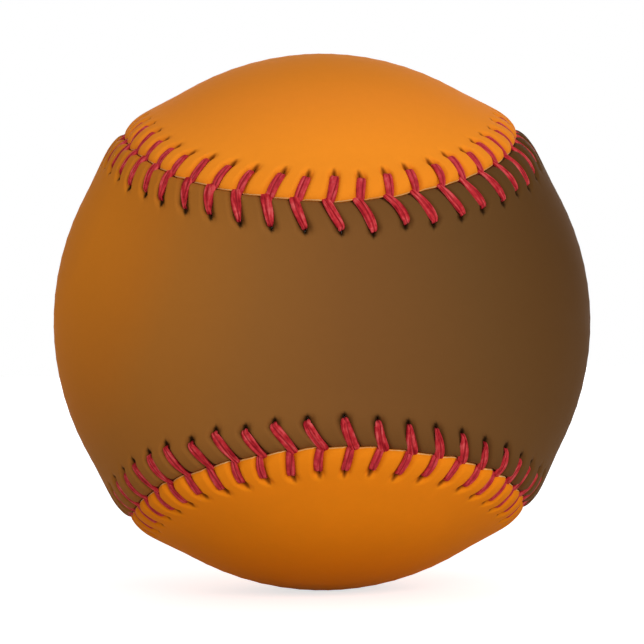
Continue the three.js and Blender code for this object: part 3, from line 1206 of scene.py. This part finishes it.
    def _row(self, index: int, across: np.ndarray, columns: Columns) -> tuple[np.ndarray, ...]:
        """Return where the points of a row lie, with the sides of the holes in place.

        Args:
            index: The row.
            across: Its points' distances from the seam.
            columns: Where the columns lie.

        Returns:
            The lengths along the seam, the distances from the middle of the leg, and how far the
            leather's inside closes past the thread.
        """
        share = np.clip(across / columns.reach, 0, 1)
        run = columns.hole - columns.foot
        beyond = np.clip(across - columns.reach, 0, self.slit_reach)
        along = (columns.foot + run * share + columns.bow * np.sin(np.pi * share)
                 + self.slit_lean * beyond * np.sin(self.stitches.swing(columns.hole)))
        sideways = columns.phase * self.stitches.pitch
        pinch = np.zeros_like(sideways)
        if index in self.HOLE_HALF_WIDTHS:
            in_stitch = np.arange(len(sideways)) % len(self.PHASES)
            rim = (in_stitch == 1) | (in_stitch == len(self.PHASES) - 1)
            past_thread = self.HOLE_ROWS[0] + 1 < index <= self.HOLE_ROWS[1]
            narrowing = self.slit_width if past_thread else 1.0
            wanted = np.sign(columns.phase) * self.HOLE_HALF_WIDTHS[index] * narrowing
            along = np.where(rim, along + wanted - sideways, along)
            sideways = np.where(rim, wanted, sideways)
            pinch = np.where(rim & past_thread, wanted * (self.pinched - 1), 0.0)
        return along, sideways, pinch

    def _height(self, across: np.ndarray, sideways: np.ndarray, past_leg: np.ndarray,
                slack: np.ndarray) -> np.ndarray:
        """Return how high the leather stands, with its channels, its pillows and the dents of its holes.

        Args:
            across: The distances from the seam.
            sideways: The distances from the middle of the leg.
            past_leg: The distances past the leg's outer end.
            slack: How full the leather is.

        Returns:
            The heights over the ball.
        """
        full = self.least_pillow + self.pillow_slack * slack
        pillow = np.interp(across, *np.transpose(self.PILLOW)) * full
        channel = self.stitches.leg_height(across) - self.channel_depth
        rise = rising(np.abs(sideways), self.channel_half_width, self.channel_wall)
        rise = rise * rise * (3 - 2 * rise)
        deep = (1 - rising(past_leg, 0, self.channel_tail)) * (1 - rise)
        height = pillow + (channel - pillow) * deep
        for depth, half_width, middle, reach in self.DENTS:
            dent = np.exp(-((sideways / half_width) ** 2) - ((past_leg - middle) / reach) ** 2)
            height = height - depth * dent
        return height

    def _fold(self, across: np.ndarray, sideways: np.ndarray, past_leg: np.ndarray) -> np.ndarray:
        """Return the painted shade beside the legs, and the darkening by handling all along the seam.

        Args:
            across: The distances from the seam.
            sideways: The distances from the middle of the leg.
            past_leg: The distances past the leg's outer end.

        Returns:
            The shares of the fold colour, which paints that shade.
        """
        beside = bell(np.abs(sideways), self.fold_half_width, 4)
        beside = beside * (1 - rising(past_leg, -self.fold_tail / 2, self.fold_tail))
        return np.maximum(beside, self.handled * bell(across, self.handled_reach, 4))

    def _smear(self, sideways: np.ndarray, past_leg: np.ndarray) -> np.ndarray:
        """Return how near the points lie to the dark slit of a hole, as a share of its painted shade.

        Args:
            sideways: The distances from the middle of the leg.
            past_leg: The distances past the leg's outer end.

        Returns:
            The shares of the hole colour, which paints that shade.
        """
        width = self.smear_width - self.smear_narrowing * rising(past_leg, 0, 1)
        fading = rising(past_leg, *self.SMEAR_COMES) * (1 - rising(past_leg, *self.SMEAR_GOES))
        return bell(sideways, width) * fading

    def _seated(self, along: np.ndarray, across: np.ndarray, height: np.ndarray) -> np.ndarray:
        """Return the points of a row, drawn in where the legs pull the seam.

        Args:
            along: The lengths along the seam.
            across: The distances from the seam.
            height: The heights.

        Returns:
            The places in millimetres.
        """
        stitches = self.stitches
        pulled = stitches.near_feet(along, self.pull_reach) * (1 - rising(across, 0, self.pull_width))
        height = height + (self.pulled_height - height) * (pulled * self.pull)
        drift = stitches.seam_drift(along) * bell(across, self.drift_reach)
        gap = self.edge_gap + self.edge_gap_at_feet * stitches.near_feet(along, self.edge_gap_reach)
        out_from_seam = across + gap * np.exp(-across / self.edge_gap_tail)
        return stitches.seam.place(along, self.side.value * out_from_seam + drift, height)

    def _field(self, number: np.ndarray, foot: np.ndarray) -> np.ndarray:
        """Return the points from the foot of the ridge in to the panel's spine.

        Args:
            number: The stitch number of each column.
            foot: The places of the band's last row.

        Returns:
            The places, rows by columns by three.
        """
        count = self.stitches.count
        quarter = count / 4
        fold = np.abs(np.mod(number - self.waist_stitch - quarter, count) - 2 * quarter)
        angle = (quarter - fold) / self.lobe_centre_stitch * (-np.pi / 2)
        spine = np.outer(np.cos(angle), self.waist_axis) + np.outer(np.sin(angle), self.lobe_axis)
        shares = (np.arange(1, self.field_rows + 1) / self.field_rows)[:, None, None]
        rows = foot[None] * (1 - shares) + (spine * BALL_RADIUS)[None] * shares
        away = np.linalg.norm(rows - foot[None], axis=-1, keepdims=True)
        return unit(rows) * (BALL_RADIUS + self.ridge_tail * bell(away, self.tail_reach))

    def _openings(self, shape: tuple[int, int]) -> np.ndarray:
        """Return which faces of the grid are stitch holes.

        Args:
            shape: The numbers of its rows and columns of points.

        Returns:
            The chosen faces.
        """
        chosen = np.zeros((shape[0] - 1, shape[1] - 1), bool)
        first, last = self.HOLE_ROWS
        step = len(self.PHASES)
        chosen[first:last, ::step] = True
        chosen[first:last, step - 1::step] = True
        return chosen

    def _add_inside(self, made: bpy.types.Object) -> None:
        """Give the skin the leather's thickness, and mark its inside.

        Args:
            made: The outer skin, with its marks and the places below its points.
        """
        below_names = [f"below_{axis}" for axis in range(3)]
        below = np.stack([read_mark(made, name) for name in below_names], axis=-1)
        kept = {name: read_mark(made, name) for name in ("cut", "fold", "hole")}
        thicken(made, BALL_RADIUS - self.inner_radius)
        places = points_of(made)
        outer = len(places) // 2
        places[outer:] = below * MM
        move_points(made, places)
        for name in below_names:
            made.data.attributes.remove(made.data.attributes[name])
        for name, values in kept.items():
            paint(made, name, np.tile(values, 2))
        paint(made, "inside", np.repeat([0.0, 1.0], outer))


@dataclass
class Ring:
    """One section of the thread: its place by the seam, the way the thread runs there, and its shape.

    The heading is along and across the seam, and the crease lies off the middle by a share of half
    the width. over_orange is 1 over the orange panel, 0 over the brown one and a half out of sight.
    The usual width and thickness are those of the thread where it is hidden.
    """

    along: float
    across: float
    height: float
    heading: np.ndarray | tuple[float, float]
    width: float = 0.6
    thickness: float = 0.34
    crease: float = 0.0
    over_orange: float = 0.5

    def __post_init__(self) -> None:
        """Give the heading a length of 1."""
        self.heading = np.array(self.heading) / math.hypot(*self.heading)


@dataclass
class SeamThread:
    """The one thread: two strands that swap sides at every stitch, joined behind the first one."""

    stitches: Stitches
    piece: Piece
    widths: PerPanel[tuple[float, ...]]
    thickness: float = 0.5
    end_thinning: float = 0.85
    fullness: float = 1.02
    fullness_spread: float = 0.07
    crease_half_width: float = 0.28
    crease_spread: float = 0.22
    most_crease: float = 0.4
    crease_drift: float = 0.3
    foot_reach: float = 0.7
    squeezed_thickness: float = 0.3
    hidden_height: float = -0.92
    bridge_lead: float = 1.4
    tail_share: float = 0.25
    seed: int = 5

    # How far along a leg its sections lie, and how far along the hidden way to the next hole
    SHARES: ClassVar[tuple[float, ...]] = (
        0.0, 0.05, 0.12, 0.21, 0.32, 0.44, 0.56, 0.68, 0.79, 0.88, 0.95, 1.0)
    HIDDEN_SHARES: ClassVar[tuple[float, ...]] = (0.3, 0.75)

    # The outline of two plies side by side, against half the width and half the thickness
    SECTION: ClassVar[Profile] = (
        (1, 0), (0.88, 0.62), (0.56, 0.98), (0.2, 0.8),
        (0, 0.44), (-0.2, 0.8), (-0.56, 0.98), (-0.88, 0.62),
        (-1, 0), (-0.88, -0.62), (-0.56, -0.98), (-0.2, -0.8),
        (0, -0.5), (0.2, -0.8), (0.56, -0.98), (0.88, -0.62))

    # How far the feet pass the seam and sink in it, and how the bends narrow and widen the legs
    OVERLAP: ClassVar[PerPanel[float]] = PerPanel(0.05, 0.3)
    FOOT_SINK: ClassVar[PerPanel[float]] = PerPanel(0.12, 0.0)
    TAPER: ClassVar[PerPanel[float]] = PerPanel(0.12, 0.28)
    TAPER_MIDDLE: ClassVar[float] = 0.25
    PINCH: ClassVar[PerPanel[float]] = PerPanel(0.25, 0.28)

    def build(self) -> bpy.types.Object:
        """Make the thread.

        Returns:
            The finished piece.
        """
        bridge = Ring(self.stitches.crossings[0] - self.bridge_lead, 0.0, self.hidden_height, (1, 0))
        rings = [*reversed(self._strand(1)), bridge, *self._strand(-1)]
        along, across, height, heading, width, thickness, crease, over_orange = (
            np.array([getattr(ring, part.name) for ring in rings]) for part in fields(Ring))
        seam = self.stitches.seam
        centre = seam.place(along, across, height)
        out, forward, sideways = seam.frame(along)
        course = forward * heading[:, :1] + sideways * heading[:, 1:]
        wide, high = self._untwisted(centre, np.cross(out, course))
        section = np.array([*self.SECTION, self.SECTION[0]])
        from_middle = np.abs(section[:, 0])
        x = (section[None, :, 0] + crease[:, None] * (1 - from_middle)[None]) * width[:, None] / 2
        y = section[None, :, 1] * thickness[:, None] / 2
        places = centre[:, None] + wide[:, None] * x[..., None] + high[:, None] * y[..., None]
        shape = places.shape[:2]
        # Marks the crease between the plies, where the thread's material paints shade
        crease_shade_mark = np.clip(1 - from_middle / self.crease_half_width, 0, 1)
        marks = {"orange_side": np.broadcast_to(over_orange[:, None], shape),
                 "crease": np.broadcast_to(crease_shade_mark, shape)}
        length = np.linalg.norm(np.diff(centre, axis=0), axis=1).sum() * MM
        log.info("the thread is %.2f m long", length)
        return self.piece.dress(wrapped_grid(self.piece.name, places, marks, ends=Ends.CAPPED))

    @staticmethod
    def _untwisted(centre: np.ndarray, wide: np.ndarray) -> tuple[np.ndarray, np.ndarray]:
        """Turn the sections smoothly along the thread, each square to it.

        Args:
            centre: The middles of the sections.
            wide: The directions of their widths.

        Returns:
            The directions of their widths and of their thicknesses.
        """
        for index in range(1, len(wide)):
            if wide[index] @ wide[index - 1] < 0:
                wide[index] *= -1
        smooth = wide.copy()
        smooth[1:-1] = wide[:-2] + wide[1:-1] * 2 + wide[2:]
        path = unit(np.gradient(centre, axis=0))
        smooth = unit(smooth - path * np.sum(smooth * path, axis=1, keepdims=True))
        return smooth, np.cross(path, smooth)

    def _strand(self, first_side: int) -> list[Ring]:
        """Lead one strand round the ball: up a hole, over the leather, down the seam, to the next hole.

        Args:
            first_side: The sign of the panel where it starts.

        Returns:
            Its rings.
        """
        count = self.stitches.count
        rng = np.random.default_rng(self.seed + first_side)
        rings: list[Ring] = []
        for number in range(count):
            side = Side(first_side if number % 2 == 0 else -first_side)
            rings += self._leg(number, side, rng)
            start, end = rings[-1], self._next_hole(number, Side(-side.value))
            run = (end[0] - start.along, end[1] - start.across)
            shares = (self.tail_share,) if number == count - 1 else self.HIDDEN_SHARES
            rings += [Ring(start.along + run[0] * share, start.across + run[1] * share,
                           self.hidden_height, run) for share in shares]
        return rings

    def _next_hole(self, number: int, side: Side) -> tuple[float, float]:
        """Return the place of the hole after a stitch.

        Args:
            number: The stitch.
            side: The panel that the hole is in.

        Returns:
            Its length along the seam and its distance across it.
        """
        stitches = self.stitches
        following = (number + 1) % stitches.count
        gained = stitches.seam.length if following == 0 else 0.0
        return stitches.holes[side][following] + gained, side.value * stitches.distances[side][following]

    def _taper(self, turned: float, side: Side) -> np.ndarray:
        """Return how a leg narrows or widens along itself, where the bend of the seam lets it.

        Args:
            turned: Where the stitch is on the bend: 0 in its middle, -1 and 1 on its two flanks.
            side: The panel that the leg lies on.

        Returns:
            The share of the usual width at each of the leg's sections.
        """
        turn = np.pi * np.array(self.SHARES)
        leaning = self.TAPER[side] * turned * (np.cos(turn) - self.TAPER_MIDDLE)
        return 1 + leaning - self.PINCH[side] * turned ** 2 * (1 - np.sin(turn))

    def _leg(self, number: int, side: Side, rng: np.random.Generator) -> list[Ring]:
        """Lay one leg, from the bottom of its hole to the bottom of the slit.

        Args:
            number: The stitch.
            side: The panel that it lies on.
            rng: The source of chance.

        Returns:
            Its rings.
        """
        stitches = self.stitches
        hole, foot = stitches.holes[side][number], stitches.feet[side][number]
        far, bow = stitches.distances[side][number], stitches.bows[side][number]
        end = -self.OVERLAP[side]
        heading = (foot - hole, side.value * (end - far))
        fullness = self.fullness + self.fullness_spread * chance(rng)
        crease = np.clip(self.crease_spread * rng.normal(), -self.most_crease, self.most_crease)
        drift = self.crease_drift * rng.normal()
        shapes = np.array(self.widths[side]) * fullness * self._taper(math.sin(stitches.swing(foot)), side)

        def section(along: float, across: float, height: float, width: float = Ring.width,
                    thickness: float = Ring.thickness, crease: float = 0.0) -> Ring:
            """Return a section of this leg, with its distance out on the leg's own side."""
            over_orange = 1.0 if side is Side.ORANGE else 0.0
            return Ring(along, side.value * across, height, heading, width, thickness, crease, over_orange)

        risen = [section(hole, far - 0.1, self.hidden_height),
                 section(hole, far + 0.08, -0.35, 0.46, 0.42),
                 section(hole, far + 0.18, 0.0, shapes[0] * 0.78, 0.42),
                 section(hole, far + 0.16, 0.28, shapes[0] * 0.96, 0.48)]
        shown = []
        for share, width in zip(self.SHARES, shapes):
            along = hole + (foot - hole) * share + bow * math.sin(math.pi * share)
            across = far + (end - far) * share
            sunk = self.FOOT_SINK[side] * math.exp(-((across / self.foot_reach) ** 2))
            thinning = self.end_thinning if share in (0.0, 1.0) else 1.0
            shown.append(section(along, across, float(stitches.leg_height(across)) - sunk, width,
                                 self.thickness * thinning, crease + drift * (share - 0.5)))
        dived = [section(foot, end - 0.04, 0.14, shapes[-1] * 0.85),
                 section(foot, end + 0.1, -0.06, thickness=self.squeezed_thickness),
                 section(foot, end / 3, -0.6, thickness=self.squeezed_thickness)]
        return risen + shown + dived


# The windings and the centre


@dataclass
class Winding:
    """One winding: a hollow ball of wound yarn, with its outer turns laid over it as one strand.

    The turns precess as they go, and lean over more and less, as on a winding machine. The strand
    starts deep and ends on top, by these shares of the yarn's thickness.
    """

    piece: Piece
    outer_radius: float
    inner_radius: float
    yarn: float
    turns: int
    tilt: float
    precession: float = 0.37
    lean: float = 50.0
    lean_swing: float = 38.0
    lean_rate: float = 0.0231
    depth: float = 1.05
    depth_gained: float = 0.55
    steps: int = 44
    sides: int = 5

    def build(self) -> bpy.types.Object:
        """Make the winding.

        Returns:
            The finished piece.
        """
        deselect()
        bed = self.outer_radius - self.yarn
        bpy.ops.mesh.primitive_ico_sphere_add(subdivisions=5, radius=bed * MM)
        ball = bpy.context.active_object
        thicken(ball, bed - self.inner_radius)
        return self.piece.dress(joined(self.piece.name, [ball, self._strand()]))

    def _strand(self) -> bpy.types.Object:
        """Lay the outer turns.

        Returns:
            The strand.
        """
        angle = np.linspace(0, 2 * np.pi * self.turns, self.turns * self.steps + 1)
        share = angle / angle[-1]
        swing = self.precession * angle + self.tilt
        lean = np.radians(self.lean + self.lean_swing * np.sin(self.lean_rate * angle + self.tilt))
        x, y, z = np.cos(angle), np.sin(angle) * np.cos(lean), np.sin(angle) * np.sin(lean)
        turned = np.stack([x * np.cos(swing) - y * np.sin(swing), x * np.sin(swing) + y * np.cos(swing), z],
                          axis=-1)
        radius = self.outer_radius - self.yarn * (self.depth - self.depth_gained * share)
        centre = turned * radius[:, None]
        path = unit(np.gradient(centre, axis=0))
        wide = unit(np.cross(turned, path))
        high = np.cross(path, wide)
        around = np.linspace(0, 2 * np.pi, self.sides + 1)[None, :, None]
        half = self.yarn / 2
        places = (centre[:, None] + wide[:, None] * np.cos(around) * half
                  + high[:, None] * np.sin(around) * half)
        return wrapped_grid("strand", places, ends=Ends.CAPPED)


@dataclass
class HalfShell:
    """One moulded rubber half shell, with a softened rim."""

    piece: Piece
    outer_radius: float
    inner_radius: float
    rim_height: float
    upward: bool
    segments: int = 72
    rings: int = 48

    def build(self) -> bpy.types.Object:
        """Make the half shell.

        Returns:
            The finished piece.
        """
        deselect()
        bpy.ops.mesh.primitive_uv_sphere_add(segments=self.segments, ring_count=self.rings,
                                             radius=self.outer_radius * MM)
        shell = bpy.context.active_object
        sign = 1 if self.upward else -1
        rim = self.rim_height * MM
        with editing(shell):
            bpy.ops.mesh.bisect(plane_co=(0, 0, sign * rim), plane_no=(0, 0, sign),
                                clear_inner=True, clear_outer=False)
            bpy.ops.mesh.select_all(action="SELECT")
            bpy.ops.mesh.normals_make_consistent(inside=False)
        face_away_from_centre(shell)
        thicken(shell, self.outer_radius - self.inner_radius)
        places = points_of(shell)
        places[places[:, 2] * sign < rim, 2] = sign * rim
        move_points(shell, places)
        soften(shell)
        return self.piece.dress(shell)


@dataclass
class Gasket:
    """The flat rubber ring in the joint of the cups."""

    piece: Piece
    outer_radius: float
    inner_radius: float
    half_thickness: float
    sides: int = 96

    def build(self) -> bpy.types.Object:
        """Make the gasket.

        Returns:
            The finished piece.
        """
        deselect()
        bpy.ops.mesh.primitive_cylinder_add(vertices=self.sides, radius=self.outer_radius * MM,
                                            depth=2 * self.half_thickness * MM, end_fill_type="NOTHING")
        ring = bpy.context.active_object
        face_away_from_centre(ring)
        thicken(ring, self.outer_radius - self.inner_radius)
        soften(ring)
        return self.piece.dress(ring)


@dataclass
class CorkCore:
    """The small ball of pressed cork, with the pits and bumps of its crumbs as a sum of waves."""

    piece: Piece
    radius: float
    roughness: float = 0.12
    waves: int = 40
    wave_rate: float = 900.0
    highest_sum: float = 6.0
    seed: int = 3

    def build(self) -> bpy.types.Object:
        """Make the core.

        Returns:
            The finished piece.
        """
        deselect()
        bpy.ops.mesh.primitive_ico_sphere_add(subdivisions=6, radius=self.radius * MM)
        core = bpy.context.active_object
        places = points_of(core)
        rng = np.random.default_rng(self.seed)
        relief = np.zeros(len(places))
        for _ in range(self.waves):
            wave = rng.normal(size=3) * self.wave_rate
            relief += np.sin(places @ wave + rng.random() * 2 * np.pi)
        relief = np.clip(relief / self.highest_sum, -1, 1)
        places *= 1 - self.roughness * (1 + relief[:, None]) / 2 / self.radius
        move_points(core, places)
        return self.piece.dress(core)


# The ball


@dataclass
class Centre:
    """The cork core, and the rubber cups and half shells round it. Radii are outer, then inner."""

    core_radius: float = 10.3
    cup_radii: tuple[float, float] = (14.1, 10.6)
    cup_rim: float = 0.95
    gasket_half_thickness: float = 0.8
    shell_radii: tuple[float, float] = (16.5, 14.4)
    shell_rim: float = 0.15

    def build(self) -> None:
        """Build the centre from the core outwards."""
        cork = CorkFinish("cork", linear(176, 128, 80), linear(112, 74, 44), linear(40, 30, 24)).material()
        black = RubberFinish("black_rubber", linear(34, 33, 32), linear(70, 68, 66)).material()
        red = RubberFinish("red_rubber", linear(158, 48, 38), linear(186, 96, 84)).material()
        CorkCore(Piece("cork_ball", ("cork_core",), "cork", cork), self.core_radius).build()
        for place, upward in (("top", True), ("bottom", False)):
            cup = Piece(f"black_cup_{place}", (f"inner_cup_{place}",), "black_rubber", black)
            HalfShell(cup, *self.cup_radii, self.cup_rim, upward).build()
            shell = Piece(f"red_half_shell_{place}", (f"outer_shell_{place}",), "red_rubber", red)
            HalfShell(shell, *self.shell_radii, self.shell_rim, upward).build()
        gasket = Piece("ring_gasket", ("cup_gasket",), "red_rubber", red)
        Gasket(gasket, *self.cup_radii, self.gasket_half_thickness).build()


@dataclass
class Windings:
    """The four windings. Each row has a name, a yarn, radii out and in, its thickness, turns and tilt."""

    layers: Sequence[tuple[str, str, float, float, float, int, float]] = (
        ("grey_four_ply", "grey_yarn", 31.2, 16.8, 1.5, 80, 0.2),
        ("white_three_ply", "white_yarn", 33.0, 31.3, 1.1, 110, 1.1),
        ("grey_three_ply", "grey_yarn", 35.0, 33.1, 1.1, 110, 2.3),
        ("finishing_yarn", "finishing_yarn", 35.5, 35.1, 0.26, 170, 3.1),
    )

    def build(self) -> None:
        """Build the windings from the inner one outwards."""
        grey = YarnFinish("grey_yarn", linear(168, 166, 160), linear(92, 90, 86), 4, 900)
        white = YarnFinish("white_yarn", linear(238, 234, 224), linear(176, 170, 156), 3, 900)
        fine = YarnFinish("finishing_yarn", linear(244, 241, 232), linear(190, 184, 170), 2, 2400)
        yarns = {finish.name: finish.material() for finish in (grey, white, fine)}
        for name, yarn, *sizes in self.layers:
            Winding(Piece(f"wound_{name}", (f"winding_{name}",), yarn, yarns[yarn]), *sizes).build()


@dataclass
class Cover:
    """The two leather panels and the thread that laces them together."""

    stitches: Stitches

    # How wide a leg is at each of its sections, from its hole to its foot
    widths: PerPanel[tuple[float, ...]] = PerPanel(
        (1.0, 1.08, 1.12, 1.14, 1.14, 1.13, 1.11, 1.09, 1.06, 1.02, 0.96, 0.88),
        (1.02, 1.15, 1.23, 1.3, 1.34, 1.34, 1.32, 1.3, 1.27, 1.23, 1.17, 1.0))

    def build(self) -> None:
        """Build the panels, then lace them together."""
        self._orange()
        self._brown()
        self._lacing()

    def _orange(self) -> None:
        """Build the orange panel, whose lobes are at the top and the bottom."""
        leather = LeatherFinish(
            "orange_leather",
            # The ramp runs up the ball and is painted light and shade: darker towards the bottom and the
            # top, lightest near the seams
            graded((0.0, 220, 124, 4), (0.1, 228, 130, 13), (0.22, 250, 142, 21), (0.8, 255, 150, 37),
                   (0.9, 243, 141, 40), (1.0, 225, 133, 34)),
            # fold paints the shade beside the legs, and hole the shade of the holes
            (0, 0, 1), fold=linear(204, 102, 12), hole=linear(140, 72, 10), cut=linear(255, 224, 158))
        piece = Piece("cover_orange", ("cover_panel_orange",), "orange_leather", leather.material())
        CoverPanel(Side.ORANGE, self.stitches, piece, waist_stitch=27, waist_axis=(0, 1, 0),
                   lobe_axis=(0, 0, -1), slit_width=0.3, smear_width=0.48).build()

    def _brown(self) -> None:
        """Build the brown panel, whose waist faces the camera."""
        leather = LeatherFinish(
            "brown_leather",
            graded((0.0, 220, 129, 30), (0.12, 192, 114, 34), (0.2, 172, 107, 40), (0.36, 147, 95, 43),
                   (0.52, 129, 84, 41), (0.76, 108, 73, 37), (1.0, 89, 58, 26)),
            # fold paints the shade beside the legs, hole the shade of the holes, and the dark cut colour
            # the shade in the seam's slit
            (1, 0, 0), fold=linear(74, 44, 16), hole=linear(44, 27, 9), cut=linear(66, 42, 20), fan=16.0)
        piece = Piece("cover_brown", ("cover_panel_brown",), "brown_leather", leather.material())
        CoverPanel(Side.BROWN, self.stitches, piece, waist_stitch=0, waist_axis=(0, -1, 0),
                   lobe_axis=(1, 0, 0)).build()

    def _lacing(self) -> None:
        """Lace the panels together with the red thread."""
        thread = ThreadFinish("red_thread", colour=linear(200, 46, 54), shade=linear(140, 18, 30),
                              shine=linear(230, 98, 98), over_orange=linear(192, 60, 72))
        piece = Piece("lacing_thread", ("seam_thread",), "red_thread", thread.material())
        SeamThread(self.stitches, piece, self.widths).build()


# The studio


@dataclass
class Lamp:
    """One soft square lamp, turned to the ball: its place and side in metres, its power in watts."""

    name: str
    place: tuple[float, float, float]
    side: float
    power: float

    def build(self) -> None:
        """Hang the lamp."""
        light = bpy.data.lights.new(self.name, "AREA")
        light.size = self.side
        light.energy = self.power
        lamp = bpy.data.objects.new(self.name, light)
        lamp.location = self.place
        lamp.rotation_euler = (-Vector(self.place)).to_track_quat("-Z", "Y").to_euler()
        lamp.visible_camera = False
        bpy.context.scene.collection.objects.link(lamp)


@dataclass
class Studio:
    """A pale floor, a white backdrop, soft lamps and the camera.

    The camera's turns are in radians, its distance and sensor in millimetres and its focal length in
    pixels of the picture. The floor and the clip distances are in metres.
    """

    turn: tuple[float, float, float] = (0.00938, -0.0177, 0.0592)
    distance: float = 444.0
    focal_pixels: float = 3211.0
    sensor: float = 36.0
    clip: tuple[float, float] = (0.01, 20)
    ambient: float = 0.4
    floor_half_side: float = 1.2
    floor_colour: Colour = (0.8, 0.8, 0.8)
    floor_glow: float = 0.7
    lamps: Sequence[Lamp] = (
        Lamp("key_lamp", (0.38, -1.47, 0.35), 1.2, 15.8),
        Lamp("top_lamp", (0.1, -0.1, 1.7), 1.4, 1.2),
        Lamp("back_lamp", (0.2, 1.5, 0.25), 1.2, 9.0),
    )

    def build(self) -> None:
        """Set up the floor, the backdrop, the lamps and the camera."""
        self._floor()
        self._backdrop()
        for lamp in self.lamps:
            lamp.build()
        self._camera()
        bpy.context.scene.view_settings.view_transform = "Standard"

    def _backdrop(self) -> None:
        """Light the scene evenly, and show white behind it."""
        world = bpy.data.worlds.new("studio")
        bpy.context.scene.world = world
        world.use_nodes = True
        nodes = Nodes(world.node_tree)
        lit, shown = (nodes.node("ShaderNodeBackground", {}, {"Color": (1, 1, 1), "Strength": strength})
                      for strength in (self.ambient, 1.0))
        mixed = nodes.node("ShaderNodeMixShader", {}, {0: nodes.seen(), 1: lit, 2: shown})
        nodes.add("ShaderNodeOutputWorld", {}, {"Surface": mixed})

    def _floor(self) -> None:
        """Lay the floor that the ball rests on. It glows a little where it is seen, so that it is white."""
        deselect()
        bpy.ops.mesh.primitive_plane_add(size=2 * self.floor_half_side, location=(0, 0, -BALL_RADIUS * MM))
        floor = bpy.context.active_object
        floor.name = "floor"
        material = bpy.data.materials.new("floor_white")
        material.use_nodes = True
        nodes = Nodes(material.node_tree)
        matt = nodes.node("ShaderNodeBsdfDiffuse", {}, {"Color": self.floor_colour})
        glow = nodes.node("ShaderNodeEmission", {}, {"Strength": self.floor_glow})
        lifted = nodes.node("ShaderNodeAddShader", {}, {0: matt, 1: glow})
        mixed = nodes.node("ShaderNodeMixShader", {}, {0: nodes.seen(), 1: matt, 2: lifted})
        nodes.add("ShaderNodeOutputMaterial", {}, {"Surface": mixed})
        floor.data.materials.append(material)

    def _camera(self) -> None:
        """Set up the camera at the photograph's angle."""
        turned = (Matrix.Rotation(self.turn[0], 3, "X") @ Matrix.Rotation(self.turn[1], 3, "Y")
                  @ Matrix.Rotation(self.turn[2], 3, "Z")).transposed()
        right, up, back = (turned @ Vector(axis) for axis in ((1, 0, 0), (0, 0, 1), (0, -1, 0)))
        lens = bpy.data.cameras.new("camera")
        lens.sensor_width = self.sensor
        lens.lens = self.focal_pixels / IMAGE_SIDE * self.sensor
        lens.clip_start, lens.clip_end = self.clip
        camera = bpy.data.objects.new("camera", lens)
        camera.matrix_world = Matrix((right, up, back)).transposed().to_4x4()
        camera.location = back * self.distance * MM
        bpy.context.scene.collection.objects.link(camera)
        bpy.context.scene.camera = camera


def main() -> None:
    """Build the ball from its centre outwards, then the studio."""
    Centre().build()
    Windings().build()
    Cover(Stitches(SeamLine())).build()
    Studio().build()


if __name__ == "__main__":
    logging.basicConfig(level=logging.INFO, format="%(name)s: %(message)s")
    main()
